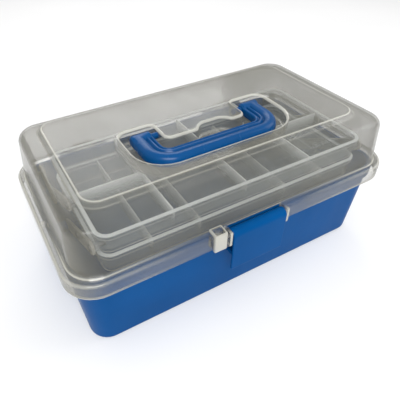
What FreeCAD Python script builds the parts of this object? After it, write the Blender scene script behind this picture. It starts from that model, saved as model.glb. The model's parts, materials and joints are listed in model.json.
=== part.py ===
# Art supply box: a tub with a domed lid, and two trays that swing up and back on arms as the lid opens.
# Millimetres. X runs along the box, Y points to the rear and Z up; the origin is under the middle of the box.
import FreeCAD, Part
import os
import Sketcher
from math import radians

doc = FreeCAD.newDocument("ArtSupplyBox")
sheet = doc.addObject("Spreadsheet::Sheet", "Sizes")

sizes = [
    # tub
    ("tubLength", 304.0), ("tubDepth", 161.5), ("tubCorner", 18.0), ("tubHeight", 77.0), ("tubDraft", 3.7),
    ("tubWall", 2.2), ("tubFloor", 2.4), ("tubEdge", 4.0), ("rimOutEnd", 7.0), ("rimOutFront", 7.25),
    ("rimCorner", 24.0), ("rimHeight", 11.0),
    # lid
    ("skirtOut", 6.0), ("skirtCorner", 28.0), ("skirtHeight", 15.0), ("skirtWall", 2.2), ("skirtTop", 2.5),
    ("shelfEnd", 6.5), ("shelfFront", 6.25), ("domeCorner", 24.0), ("domeHeight", 44.5), ("domeDraft", 5.1),
    ("domeEdge", 8.0), ("lidWall", 2.2), ("panelInEnd", 24.5), ("panelInFront", 22.25), ("panelMiddle", 5.0),
    ("panelCorner", 14.0), ("panelRise", 3.5),
    # handle recess in the lid, with the tongue between the handle's legs and its finger scoop
    ("recessSide", 9.0), ("recessGap", 4.5), ("recessBehind", 11.0), ("recessCorner", 16.0),
    ("recessFloor", 13.0), ("tongueSide", 6.0), ("tongueGap", 10.0), ("scoopMiddle", 8.0),
    ("scoopRadius", 22.0), ("scoopDepth", 8.0),
    # handle
    ("handleLength", 138.0), ("handleFront", 42.0), ("barDepth", 20.0), ("legWidth", 20.0),
    ("handleThick", 11.4), ("handleCorner", 26.0), ("handleEdge", 3.5), ("handlePivotY", 6.0),
    ("handleGap", 1.3), ("stubRadius", 3.0), ("gripCorner", 8.0),
    # hinge at the rear
    ("hingeRise", 5.0), ("hingeRadius", 5.0), ("hingePinRadius", 1.5), ("hingeMiddle", 90.0),
    ("hingeLength", 52.0), ("lidKnuckle", 23.0), ("sideGap", 0.4), ("pinGap", 0.05),
    # latch and padlock eye at the front
    ("latchLength", 55.4), ("latchRadius", 5.8), ("latchPinIn", 0.8), ("latchPinRise", 8.8),
    ("latchPinRadius", 1.5), ("latchThick", 2.6), ("latchDrop", 30.0), ("hookHeight", 3.0),
    ("hookReach", 4.0), ("catchHeight", 4.0), ("catchGap", 0.4), ("earThick", 3.0), ("latchGap", 0.6),
    ("eyeBeside", 12.3), ("eyeLength", 12.0), ("eyeOut", 4.0), ("eyeRise", 4.0), ("eyeWall", 1.0),
    ("eyeRoof", 8.0), ("eyeHoleRadius", 3.5), ("eyeHoleIn", 4.7), ("eyeRimReach", 6.0), ("lugGap", 0.5),
    ("earDepth", 10.8), ("earFront", 4.4), ("latchRibWide", 2.0), ("latchRibDeep", 2.4), ("pocketGap", 3.0),
    ("pocketBack", 0.6),
    # trays
    ("trayEnd", 18.0), ("trayRoom", 33.5), ("trayFrontGap", 3.75), ("trayCorner", 12.0), ("upperRise", 42.0),
    ("upperHeight", 20.0), ("trayPitch", 21.0), ("lowerHeight", 21.0), ("trayDraft", 2.5),
    ("trayWall", 1.8), ("trayFloor", 1.8), ("rimBand", 5.0), ("rimLip", 1.5), ("dividerThick", 1.6),
    ("dividerDrop", 1.5), ("upperColumn", 70.0), ("lowerColumn", 90.0), ("lowerColumnInner", 45.0),
    ("rowY", -16.0),
    # arms, links and rivets
    ("armReachY", 40.0), ("armReachZ", 22.0), ("pitchRoom", 72.0), ("footBehind", 17.0), ("footDrop", 15.0),
    ("armSide", 2.0), ("armThick", 2.5), ("armRadius", 6.0), ("layerGap", 0.3), ("rivetRadius", 1.6),
    ("rivetHead", 3.2), ("rivetTail", 2.6), ("headThick", 0.9), ("tubBoss", 5.0), ("trayBoss", 4.0),
    ("trayBossIn", 6.6), ("bossHole", 9.0), ("linkShare", 37.7), ("linkPinIn", 24.0), ("linkPinRise", 11.0),
    ("linkThick", 2.4), ("linkRadius", 7.5), ("linkSlack", 2.75), ("linkWaist", 4.0), ("bracketWidth", 9.0),
    ("bracketReach", 12.5), ("bracketThick", 3.0), ("bracketHeight", 9.0), ("bracketDrop", 12.0),
    ("linkHead", 5.8),
    # small tab on the skirt at each end
    ("tabWidth", 7.0), ("tabY", -12.5), ("tabRise", 3.5), ("tabDepth", 5.0),
    # how far the cutting shapes reach past what they cut: shallow, and wide for whole sides
    ("past", 1.0), ("pastWide", 20.0),
]
# Sizes and places that follow from the ones above, so that the pieces still fit one another.
fitted = [
    ("rimLength", "=tubLength + 2 * rimOutEnd"), ("rimDepth", "=tubDepth + 2 * rimOutFront"),
    ("skirtLength", "=rimLength + 2 * skirtOut"), ("skirtDepth", "=rimDepth + 2 * skirtOut"),
    ("domeLength", "=skirtLength - 2 * shelfEnd"), ("domeDepth", "=skirtDepth - 2 * shelfFront"),
    ("panelLength", "=domeLength - 2 * panelInEnd"), ("panelDepth", "=domeDepth - 2 * panelInFront"),
    ("recessLength", "=handleLength + 2 * recessSide"), ("recessFront", "=handleFront + recessGap"),
    ("recessRear", "=handlePivotY + recessBehind"), ("tongueFront", "=handleFront - barDepth - tongueGap"),
    ("tongueLength", "=handleLength - 2 * legWidth - 2 * tongueSide"),
    ("hingeY", "=skirtDepth / 2"), ("hingeZ", "=tubHeight + hingeRise"),
    ("latchPinY", "=latchPinIn - skirtDepth / 2"), ("latchPinZ", "=tubHeight + latchPinRise"),
    ("latchBottom", "=tubHeight - latchDrop"), ("eyeMiddle", "=0 - latchLength / 2 - eyeBeside"),
    ("eyeFront", "=skirtDepth / 2 + eyeOut"), ("eyeHoleY", "=eyeHoleIn - eyeFront"),
    ("trayLength", "=tubLength - 2 * trayEnd"), ("trayDepth", "=tubDepth - trayRoom"),
    ("trayMiddle", "=trayFrontGap - trayRoom / 2"), ("upperTop", "=tubHeight + upperRise"),
    ("lowerTop", "=upperTop - trayPitch"), ("armFootY", "=trayMiddle + trayDepth / 2 + footBehind"),
    ("armPitch", "=trayDepth - pitchRoom"), ("armFootZ", "=tubHeight - footDrop"),
    ("armX", "=trayLength / 2 + armSide"),
    ("trayBossStart", "=trayLength / 2 - trayBossIn"), ("linkPinY", "=skirtDepth / 2 - linkPinIn"),
    ("linkPinZ", "=tubHeight + linkPinRise"), ("bracketIn", "=domeLength / 2 - bracketReach"),
]
for row, (alias, value) in enumerate(sizes + fitted, start=1):
    sheet.set(f"A{row}", alias)
    sheet.set(f"B{row}", str(value))
    sheet.setAlias(f"B{row}", alias)
doc.recompute()
size = {alias: float(sheet.get(alias)) for alias, value in sizes + fitted}


# Turns bare size names in a formula into references to the sheet.
def bound(formula):
    words = []
    token = ""
    for letter in str(formula) + " ":
        if letter.isalnum():
            token += letter
            continue
        words.append(f"Sizes.{token}" if token in size else token)
        words.append(letter)
        token = ""
    return "".join(words).strip()


def place(item, x=None, y=None, z=None):
    for axis, formula in (("x", x), ("y", y), ("z", z)):
        if formula is not None:
            item.setExpression(f".Placement.Base.{axis}", bound(formula))


def makeBox(name, length, width, height, x, y, z):
    box = doc.addObject("Part::Box", name)
    box.setExpression("Length", bound(length))
    box.setExpression("Width", bound(width))
    box.setExpression("Height", bound(height))
    place(box, x, y, z)
    return box


# A cylinder along X by default, starting at x; along Z when upright.
def makeRod(name, radius, length, x, y, z, upright=False):
    rod = doc.addObject("Part::Cylinder", name)
    rod.setExpression("Radius", bound(radius))
    rod.setExpression("Height", bound(length))
    if not upright:
        rod.Placement = FreeCAD.Placement(FreeCAD.Vector(), FreeCAD.Rotation(FreeCAD.Vector(0, 1, 0), 90))
    place(rod, x, y, z)
    return rod


def join(name, pieces):
    fused = doc.addObject("Part::MultiFuse", name)
    fused.Shapes = pieces
    fused.Refine = True
    return fused


def cut(name, base, tool):
    trimmed = doc.addObject("Part::Cut", name)
    trimmed.Base = base
    trimmed.Tool = tool
    trimmed.Refine = True
    return trimmed


def group(name, pieces):
    bundle = doc.addObject("Part::Compound", name)
    bundle.Links = pieces
    return bundle


# ---- rounded rectangles and the bodies made from them ----

def flatPlane(body, role):
    return next(item for item in body.Origin.OriginFeatures if item.Role == role)


# A rounded rectangle on a level plane, centred on x = 0 and y = middle.
def roundedSketch(body, name, length, width, radius, level, middle="0"):
    sketch = body.newObject("Sketcher::SketchObject", name)
    sketch.AttachmentSupport = [(flatPlane(body, "XY_Plane"), "")]
    sketch.MapMode = "FlatFace"
    sketch.setExpression(".AttachmentOffset.Base.z", bound(level))
    sketch.setExpression(".AttachmentOffset.Base.y", bound(middle))
    halfX, halfY, corner = 50.0, 30.0, 8.0
    inX, inY = halfX - corner, halfY - corner
    vector = FreeCAD.Vector
    sides = [((-inX, -halfY), (inX, -halfY)), ((halfX, -inY), (halfX, inY)),
             ((inX, halfY), (-inX, halfY)), ((-halfX, inY), (-halfX, -inY))]
    for start, end in sides:
        sketch.addGeometry(Part.LineSegment(vector(*start, 0), vector(*end, 0)), False)
    centres = [(inX, -inY, 270), (inX, inY, 0), (-inX, inY, 90), (-inX, -inY, 180)]
    for x, y, start in centres:
        circle = Part.Circle(vector(x, y, 0), vector(0, 0, 1), corner)
        sketch.addGeometry(Part.ArcOfCircle(circle, radians(start), radians(start + 90)), False)
    for side in range(4):
        sketch.addConstraint(Sketcher.Constraint("Tangent", side, 2, side + 4, 1))
        sketch.addConstraint(Sketcher.Constraint("Tangent", side + 4, 2, (side + 1) % 4, 1))
    for side, way in enumerate(("Horizontal", "Vertical", "Horizontal", "Vertical")):
        sketch.addConstraint(Sketcher.Constraint(way, side))
    for arc in (5, 6, 7):
        sketch.addConstraint(Sketcher.Constraint("Equal", 4, arc))
    sketch.addConstraint(Sketcher.Constraint("Symmetric", 0, 1, 2, 1, -1, 1))
    for label, formula, constraint in (
        ("length", length, Sketcher.Constraint("DistanceX", 3, 1, 1, 1, 2 * halfX)),
        ("width", width, Sketcher.Constraint("DistanceY", 0, 1, 2, 1, 2 * halfY)),
        ("corner", radius, Sketcher.Constraint("Radius", 4, corner)),
    ):
        index = sketch.addConstraint(constraint)
        sketch.renameConstraint(index, label)
        sketch.setExpression(f"Constraints.{label}", bound(formula))
    return sketch


def pad(body, name, sketch, height, draft=None):
    feature = body.newObject("PartDesign::Pad", name)
    feature.Profile = sketch
    feature.setExpression("Length", bound(height))
    if draft:
        feature.setExpression("TaperAngle", bound(draft))
    return feature


# A pocket that cuts upwards from its sketch.
def pocketUp(body, name, sketch, height, draft=None):
    feature = body.newObject("PartDesign::Pocket", name)
    feature.Profile = sketch
    feature.Reversed = True
    feature.setExpression("Length", bound(height))
    if draft:
        feature.setExpression("TaperAngle", bound(draft))
    return feature


# Rounds the edges whose middle passes a test.
def roundEdges(body, name, base, radius, chosen):
    doc.recompute()
    names = []
    for index, edge in enumerate(base.Shape.Edges, start=1):
        if chosen(edge.CenterOfMass, edge.BoundBox):
            names.append(f"Edge{index}")
    feature = body.newObject("PartDesign::Fillet", name)
    feature.Base = (base, names)
    feature.setExpression("Radius", bound(radius))
    return feature


def newBody(name):
    return doc.addObject("PartDesign::Body", name)


def clip(name, piece, solid):
    common = doc.addObject("Part::Common", name)
    common.Base = piece
    common.Tool = solid
    return common


level = {
    "rimTop": "tubHeight + rimHeight",
    "skirtTop": "tubHeight + skirtHeight",
    "domeTop": "tubHeight + skirtHeight + domeHeight",
    "lidTop": "tubHeight + skirtHeight + domeHeight + panelRise",
    "recessFloor": "tubHeight + skirtHeight + domeHeight + panelRise - recessFloor",
}
handleAxisZ = f"{level['recessFloor']} + handleGap + handleThick / 2"
sides = (("left", -1), ("right", 1))
parts = []

# Layers along x at each end: tray, arm, rivet heads, link, then the tub's and the lid's bosses.
layer = {"armOut": "armX + armThick", "headIn": "armX + armThick + layerGap"}
layer["linkIn"] = f"{layer['headIn']} + headThick + 1.5 * layerGap"
layer["linkOut"] = f"{layer['linkIn']} + linkThick"
layer["tubBoss"] = f"{layer['armOut']} + 2 * layerGap"
layer["lidBoss"] = f"{layer['linkOut']} + 1.5 * layerGap"


# Where the arms' pivots are when the lid is shut: row 0 on the tub, 1 on the lower tray, 2 on the upper tray.
def pivotAt(arm, row):
    back = "armFootY" if arm == "rear" else "armFootY - armPitch"
    return f"{back} - {row} * armReachY", f"armFootZ + {row} * armReachZ"


# A span of a mirrored rod: its lower x end on the given side.
def spanStart(side, near, length):
    return f"{near}" if side > 0 else f"-({near}) - ({length})"


# ---- tub ----

def makeTub():
    body = newBody("TubShell")
    outer = roundedSketch(body, "TubOutline", "tubLength", "tubDepth", "tubCorner", "0")
    shell = pad(body, "TubPad", outer, "tubHeight", "tubDraft")
    rim = roundedSketch(body, "RimOutline", "rimLength", "rimDepth", "rimCorner", "tubHeight")
    rimPad = pad(body, "RimPad", rim, "rimHeight")
    inset = "2 * (tubWall - tubFloor * tan(tubDraft))"
    inner = roundedSketch(body, "TubHollow", f"tubLength - {inset}", f"tubDepth - {inset}",
                          "tubCorner - tubWall", "tubFloor")
    hollow = pocketUp(body, "TubPocket", inner, f"{level['rimTop']} - tubFloor + 0.5", "tubDraft")
    roundEdges(body, "TubFoot", hollow, "tubEdge", lambda middle, box: box.ZMax < 0.01)
    block = newBody("TubBlock")
    solid = roundedSketch(block, "BlockOutline", "tubLength", "tubDepth", "tubCorner", "0")
    pad(block, "BlockPad", solid, "tubHeight", "tubDraft")
    pieces = [body]
    holes = []
    for label, side in sides:
        for arm in ("rear", "front"):
            y, z = pivotAt(arm, 0)
            near = layer["tubBoss"]
            reach = f"tubLength / 2 - ({near}) + 10"
            boss = makeRod(f"Boss_{arm}_{label}", "tubBoss", reach, spanStart(side, near, reach), y, z)
            pieces.append(clip(f"BossClipped_{arm}_{label}", boss, block))
            holes.append(makeRod(f"BossHole_{arm}_{label}", "rivetRadius + pinGap", "bossHole",
                                 spanStart(side, near, "bossHole"), y, z))
        for number, end in enumerate((-1, 1)):
            width = "(hingeLength - lidKnuckle - 2 * sideGap) / 2"
            middle = f"{side} * hingeMiddle + {end} * (hingeLength - ({width})) / 2"
            start = f"{middle} - ({width}) / 2"
            pieces.append(makeRod(f"Knuckle_{label}_{number}", "hingeRadius", width, start, "hingeY", "hingeZ"))
            pieces.append(makeBox(f"KnuckleWeb_{label}_{number}", width, "hingeY - rimDepth / 2 + 3",
                                  "hingeRadius * 1.6", start, "rimDepth / 2 - 3", "hingeZ - hingeRadius"))
        holes.append(makeRod(f"HingeBore_{label}", "hingePinRadius + pinGap", "hingeLength",
                             f"{side} * hingeMiddle - hingeLength / 2", "hingeY", "hingeZ"))
    catchFace = "-(latchPinY - latchRadius + latchThick + hookReach + catchGap)"
    catchBase = "latchBottom + hookHeight * 2 + catchGap + 1"
    pieces.append(makeBox("Catch", "latchLength * 0.8", f"{catchFace} - tubDepth / 2 - 2", "catchHeight",
                          "-latchLength * 0.4", f"-({catchFace})", catchBase))
    lugWidth = "eyeLength - 2 * (eyeWall + lugGap)"
    pieces.append(makeBox("PadlockLug", lugWidth, "eyeFront - eyeWall - lugGap - rimDepth / 2 + 2",
                          "skirtHeight + eyeRise - eyeRoof - lugGap * 2", f"eyeMiddle - ({lugWidth}) / 2",
                          "-(eyeFront - eyeWall - lugGap)", "tubHeight + lugGap"))
    holes.append(makeRod("LugHole", "eyeHoleRadius", "skirtHeight + 4", "eyeMiddle", "eyeHoleY",
                         "tubHeight - 2", upright=True))
    # The rim is flush with the wall behind the latch, so that the latch can turn.
    holes.append(makeBox("LatchPocket", "latchLength + 2 * (earThick + pocketGap)", "pastWide",
                         "rimHeight + past", "-(latchLength / 2 + earThick + pocketGap)",
                         "latchPinY + latchRadius + pocketBack - pastWide", "tubHeight"))
    tub = cut("Tub", join("TubJoined", pieces), join("TubHoles", holes))
    tub.Label = "tub"
    parts.append(tub)


# ---- lid ----

def makeLid():
    body = newBody("LidShell")
    skirt = roundedSketch(body, "SkirtOutline", "skirtLength", "skirtDepth", "skirtCorner", "tubHeight")
    pad(body, "SkirtPad", skirt, "skirtHeight")
    dome = roundedSketch(body, "DomeOutline", "domeLength", "domeDepth", "domeCorner", level["skirtTop"])
    domePad = pad(body, "DomePad", dome, "domeHeight", "-domeDraft")
    domeEdge = roundEdges(body, "DomeEdge", domePad, "domeEdge",
                          lambda middle, box: box.ZMin > size["tubHeight"] + size["skirtHeight"] + 1
                          and box.ZMax - box.ZMin < 0.01)
    panel = roundedSketch(body, "PanelOutline", "panelLength", "panelDepth", "panelCorner",
                          f"{level['domeTop']} - 2", "panelMiddle")
    panelPad = pad(body, "PanelPad", panel, "panelRise + 2")
    skirtHollow = roundedSketch(body, "SkirtHollow", "skirtLength - 2 * skirtWall",
                                "skirtDepth - 2 * skirtWall", "skirtCorner - skirtWall", "tubHeight")
    pocketUp(body, "SkirtPocket", skirtHollow, "skirtHeight - skirtTop")
    spread = "2 * (skirtHeight * tan(domeDraft) - lidWall)"
    domeHollow = roundedSketch(body, "DomeHollow", f"domeLength + {spread}", f"domeDepth + {spread}",
                               "domeCorner - lidWall + skirtHeight * tan(domeDraft)", "tubHeight")
    pocketUp(body, "DomePocket", domeHollow, "skirtHeight + domeHeight - lidWall", "-domeDraft")
    panelHollow = roundedSketch(body, "PanelHollow", "panelLength - 2 * lidWall", "panelDepth - 2 * lidWall",
                                "panelCorner - lidWall", f"{level['domeTop']} - 2 * lidWall", "panelMiddle")
    pocketUp(body, "PanelPocket", panelHollow, "panelRise + lidWall")
    middle = "(recessRear - recessFront) / 2"
    depth = "recessFront + recessRear"
    well = roundedSketch(body, "RecessShell", "recessLength + 2 * lidWall", f"{depth} + 2 * lidWall",
                         "recessCorner + lidWall", f"{level['recessFloor']} - lidWall", middle)
    pad(body, "RecessWall", well, "recessFloor + lidWall - 0.01")
    recess = roundedSketch(body, "RecessOutline", "recessLength", depth, "recessCorner",
                           level["recessFloor"], middle)
    pocketUp(body, "RecessPocket", recess, "recessFloor + 1")
    tongue = "tongueFront + recessRear"
    tongueOuter = makeBox("TongueOuter", "tongueLength", f"{tongue} + lidWall", "recessFloor + lidWall",
                          "-tongueLength / 2", "-tongueFront", f"{level['recessFloor']} - lidWall")
    scoopY = "-tongueFront + scoopDepth - scoopRadius"
    scoop = makeRod("Scoop", "scoopRadius", "recessFloor + 1", "scoopMiddle", scoopY, level["recessFloor"],
                    upright=True)
    tongueBlock = cut("TongueBlock", tongueOuter, scoop)
    tongueInner = makeBox("TongueInner", "tongueLength - 2 * lidWall", f"{tongue} + lidWall",
                          "recessFloor + 0.5", "-tongueLength / 2 + lidWall", "-tongueFront + lidWall",
                          f"{level['recessFloor']} - lidWall - 0.5")
    scoopWall = makeRod("ScoopWall", "scoopRadius + lidWall", "recessFloor + lidWall + 1", "scoopMiddle",
                        scoopY, f"{level['recessFloor']} - lidWall - 1", upright=True)
    tongueHollow = cut("TongueHollow", tongueInner, scoopWall)
    block = newBody("DomeBlock")
    solid = roundedSketch(block, "DomeBlockOutline", "domeLength", "domeDepth", "domeCorner",
                          f"{level['skirtTop']} - skirtTop")
    pad(block, "DomeBlockPad", solid, "domeHeight", "-domeDraft")
    pieces = [body, tongueBlock]
    holes = [tongueHollow]
    for label, side in sides:
        holes.append(makeRod(f"StubBore_{label}", "stubRadius + pinGap * 2", "lidWall + 2",
                             spanStart(side, "tongueLength / 2 - lidWall - 1", "lidWall + 2"),
                             "handlePivotY", handleAxisZ))
        middle = f"{side} * hingeMiddle"
        pieces.append(makeRod(f"LidKnuckle_{label}", "hingeRadius", "lidKnuckle", f"{middle} - lidKnuckle / 2",
                              "hingeY", "hingeZ"))
        pieces.append(makeBox(f"LidKnuckleWeb_{label}", "lidKnuckle", "hingeRadius + 1.5",
                              f"{level['skirtTop']} - hingeZ - 0.6", f"{middle} - lidKnuckle / 2",
                              "hingeY - 3.6", "hingeZ + 0.6"))
        holes.append(makeRod(f"LidHingeBore_{label}", "hingePinRadius + pinGap", "lidKnuckle + 2",
                             f"{middle} - lidKnuckle / 2 - 1", "hingeY", "hingeZ"))
        near = layer["lidBoss"]
        reach = f"bracketIn + bracketThick - ({near})"
        pieces.append(makeRod(f"LinkBoss_{label}", "bracketWidth / 2", reach, spanStart(side, near, reach),
                              "linkPinY", "linkPinZ"))
        pieces.append(makeBox(f"LinkDrop_{label}", "bracketThick", "bracketWidth", "bracketDrop",
                              spanStart(side, "bracketIn", "bracketThick"), "linkPinY - bracketWidth / 2",
                              "linkPinZ"))
        reach = "domeLength / 2 - bracketIn"
        bracket = makeBox(f"LinkBracket_{label}", reach, "bracketWidth", "bracketHeight",
                          spanStart(side, "bracketIn", reach), "linkPinY - bracketWidth / 2",
                          f"{level['skirtTop']} - 1")
        pieces.append(clip(f"LinkBracketClipped_{label}", bracket, block))
        holes.append(makeRod(f"LinkBore_{label}", "rivetRadius + pinGap", "bracketIn + 4 - armX",
                             spanStart(side, "armX", "bracketIn + 4 - armX"), "linkPinY", "linkPinZ"))
        pieces.append(makeBox(f"Tab_{label}", "tabDepth", "tabWidth", "tabRise + skirtTop / 2",
                              spanStart(side, "domeLength / 2 - 0.6", "tabDepth"), "tabY - tabWidth / 2",
                              f"{level['skirtTop']} - skirtTop / 2"))
    for label, side in sides:
        pieces.append(makeBox(f"LatchEar_{label}", "earThick", "earDepth", "skirtHeight",
                              spanStart(side, "latchLength / 2 + latchGap", "earThick"),
                              "latchPinY - earFront", "tubHeight"))
    holes.append(makeRod("LatchBore", "latchPinRadius + pinGap", "latchLength + 2 * earThick + 4",
                         "-(latchLength / 2 + earThick + 2)", "latchPinY", "latchPinZ"))
    pieces.append(makeBox("EyeBlock", "eyeLength", "eyeFront - domeDepth / 2 + 0.6", "skirtHeight + eyeRise",
                          "eyeMiddle - eyeLength / 2", "-eyeFront", "tubHeight"))
    holes.append(makeBox("EyeHollow", "eyeLength - 2 * eyeWall", "eyeFront - eyeWall - rimDepth / 2 + 3",
                         "skirtHeight + eyeRise - eyeRoof + 1", "eyeMiddle - eyeLength / 2 + eyeWall",
                         "-(eyeFront - eyeWall)", "tubHeight - 1"))
    holes.append(makeBox("EyeRimGap", "eyeLength + 2 * past", "eyeRimReach", "rimHeight + 1.5",
                         "eyeMiddle - eyeLength / 2 - past",
                         "-(rimDepth / 2 + lugGap)", "tubHeight - 0.1"))
    holes.append(makeRod("EyeHole", "eyeHoleRadius", "skirtHeight + eyeRise + 2", "eyeMiddle", "eyeHoleY",
                         "tubHeight - 1", upright=True))
    # The skirt is open at the latch, and low along the rear so that it clears the rim as the lid tips back.
    latchGap = makeBox("LatchGap", "latchLength + 2 * latchGap", "pastWide", "skirtHeight + 0.2",
                       "-(latchLength / 2 + latchGap)", "-domeDepth / 2 + 0.2 - pastWide", "tubHeight - 0.1")
    rearGap = makeBox("RearGap", "skirtLength + 2 * past", "pastWide", "skirtHeight - skirtTop - 1",
                      "-skirtLength / 2 - past", "rimDepth / 2 - 4", "tubHeight - 0.1")
    opened = cut("LidOpened", body, join("LidGaps", [latchGap, rearGap]))
    pieces[0] = opened
    lid = cut("Lid", join("LidJoined", pieces), join("LidHoles", holes))
    lid.Label = "lid"
    parts.append(lid)


# ---- handle ----

def makeHandle():
    body = newBody("HandleGrip")
    base = f"{level['recessFloor']} + handleGap"
    reach = "handleFront + handlePivotY"
    outline = roundedSketch(body, "HandleOutline", "handleLength", f"2 * ({reach})", "handleCorner", base,
                            "handlePivotY")
    grip = pad(body, "HandlePad", outline, "handleThick")
    gap = roundedSketch(body, "GripGap", "handleLength - 2 * legWidth", f"2 * ({reach} - barDepth)",
                        "gripCorner", f"{base} - 1", "handlePivotY")
    opened = pocketUp(body, "GripPocket", gap, "handleThick + 2")
    roundEdges(body, "GripEdge", opened, "handleEdge",
               lambda middle, box: box.ZMax - box.ZMin < 0.01)
    rear = makeBox("HandleRear", "handleLength + 2 * past", f"{reach} + pastWide", "handleThick + 4 * past",
                   "-handleLength / 2 - past", "handlePivotY", f"{base} - 2 * past")
    pieces = [cut("HandleU", body, rear)]
    for label, side in sides:
        near = "handleLength / 2 - legWidth"
        pieces.append(makeRod(f"LegEnd_{label}", "handleThick / 2", "legWidth", spanStart(side, near, "legWidth"),
                              "handlePivotY", handleAxisZ))
        length = f"{near} - tongueLength / 2 + lidWall + 1"
        pieces.append(makeRod(f"Stub_{label}", "stubRadius", f"{length} + 2",
                              spanStart(side, f"tongueLength / 2 - lidWall - 1", f"{length} + 2"),
                              "handlePivotY", handleAxisZ))
    handle = join("Handle", pieces)
    handle.Label = "handle"
    parts.append(handle)


# ---- latch ----

def makeLatch():
    front = "latchPinY - latchRadius"
    barrel = makeRod("LatchBarrel", "latchRadius", "latchLength", "-latchLength / 2", "latchPinY", "latchPinZ")
    plate = makeBox("LatchPlate", "latchLength", "latchThick", "latchPinZ - latchBottom", "-latchLength / 2",
                    front, "latchBottom")
    hook = makeBox("LatchHook", "latchLength * 0.7", "latchThick + hookReach - 0.5", "hookHeight",
                   "-latchLength * 0.35", f"{front} + 0.5", "latchBottom + hookHeight")
    ribs = []
    for label, side in sides:
        ribs.append(makeBox(f"LatchRib_{label}", "latchRibWide", "latchThick + latchRibDeep",
                            "latchPinZ - latchBottom - latchRibWide",
                            spanStart(side, "latchLength / 2 - latchRibWide", "latchRibWide"), front,
                            "latchBottom + 1"))
    bore = makeRod("LatchPinHole", "latchPinRadius + pinGap", "latchLength + 2", "-latchLength / 2 - 1",
                   "latchPinY", "latchPinZ")
    latch = cut("Latch", join("LatchJoined", [barrel, plate, hook] + ribs), bore)
    latch.Label = "latch"
    parts.append(latch)
    pin = makeRod("LatchPin", "latchPinRadius", "latchLength + 2 * (latchGap + earThick)",
                  "-(latchLength / 2 + latchGap + earThick)", "latchPinY", "latchPinZ")
    pin.Label = "latch_pin"
    parts.append(pin)


# ---- trays ----

def makeTray(name, top, height, row, columns, rows):
    body = newBody(f"{name}Shell")
    draft = "tan(trayDraft)"
    bottom = f"{top} - {height}"
    length = "trayLength - 2 * rimLip"
    depth = "trayDepth - 2 * rimLip"
    lean = f"(2 * {height} * {draft})"
    outer = roundedSketch(body, f"{name}Outline", f"{length} - {lean}", f"{depth} - {lean}",
                          f"trayCorner - rimLip - {height} * {draft}", bottom, "trayMiddle")
    pad(body, f"{name}Pad", outer, height, "trayDraft")
    band = roundedSketch(body, f"{name}Band", "trayLength", "trayDepth", "trayCorner", f"{top} - rimBand",
                         "trayMiddle")
    pad(body, f"{name}BandPad", band, "rimBand")
    lean = f"(2 * ({height} - trayFloor) * {draft} + 2 * trayWall)"
    inner = roundedSketch(body, f"{name}Hollow", f"{length} - {lean}", f"{depth} - {lean}",
                          f"trayCorner - rimLip - trayWall - ({height} - trayFloor) * {draft}",
                          f"{bottom} + trayFloor", "trayMiddle")
    hollow = pocketUp(body, f"{name}Pocket", inner, f"{height} - trayFloor + 0.2", "trayDraft")
    roundEdges(body, f"{name}Foot", hollow, "1.5",
               lambda middle, box: box.ZMax < size[top] - size[height] + 0.01)
    pieces = [body]
    tall = f"{height} - trayFloor / 2 - dividerDrop"
    deep = f"{depth} - 1.4 * trayWall"
    for number, x in enumerate(columns):
        pieces.append(makeBox(f"{name}Column{number}", "dividerThick", deep, tall, f"{x} - dividerThick / 2",
                              f"trayMiddle - ({deep}) / 2", f"{bottom} + trayFloor / 2"))
    for number, (start, end) in enumerate(rows):
        pieces.append(makeBox(f"{name}Row{number}", f"{end} - ({start})", "dividerThick", tall, start,
                              "rowY - dividerThick / 2", f"{bottom} + trayFloor / 2"))
    holes = []
    rivets = []
    for label, side in sides:
        for arm in ("rear", "front"):
            y, z = pivotAt(arm, row)
            reach = "armX - layerGap - trayBossStart"
            pieces.append(makeRod(f"{name}Boss_{arm}_{label}", "trayBoss", reach,
                                  spanStart(side, "trayBossStart", reach), y, z))
            holes.append(makeRod(f"{name}Hole_{arm}_{label}", "rivetRadius + pinGap", f"{reach} + 2",
                                 spanStart(side, "trayBossStart - 1", f"{reach} + 2"), y, z))
            inside = "trayBossStart - layerGap"
            outside = layer["headIn"]
            shaft = f"{outside} - ({inside})"
            rivets.append(join(f"{name}Rivet_{arm}_{label}", [
                makeRod(f"{name}Shaft_{arm}_{label}", "rivetRadius", shaft, spanStart(side, inside, shaft), y, z),
                makeRod(f"{name}Head_{arm}_{label}", "rivetHead", "headThick",
                        spanStart(side, outside, "headThick"), y, z),
                makeRod(f"{name}Tail_{arm}_{label}", "rivetTail", "headThick",
                        spanStart(side, f"{inside} - headThick", "headThick"), y, z),
            ]))
    tray = cut(name, join(f"{name}Joined", pieces), join(f"{name}Holes", holes))
    tray.Label = "upper_tray" if name == "UpperTray" else "lower_tray"
    parts.append(tray)
    bundle = group(f"{name}Rivets", rivets)
    bundle.Label = tray.Label + "_rivets"
    parts.append(bundle)


# ---- arms ----

armLength = "2 * sqrt(armReachY * armReachY + armReachZ * armReachZ)"
armLean = "atan(armReachZ / armReachY)"


# A flat bar across X that starts at a pivot and points along a turn from the rear upwards.
def makeBar(name, radius, length, thick, x, y, z, turn):
    bar = doc.addObject("Part::Box", name)
    bar.setExpression("Length", bound(thick))
    bar.setExpression("Width", bound(length))
    bar.setExpression("Height", bound(f"2 * ({radius})"))
    bar.Placement = FreeCAD.Placement(FreeCAD.Vector(), FreeCAD.Rotation(FreeCAD.Vector(1, 0, 0), 1))
    bar.setExpression(".Placement.Rotation.Angle", bound(turn))
    place(bar, x, f"{y} + ({radius}) * sin({turn})", f"{z} - ({radius}) * cos({turn})")
    return bar


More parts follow.
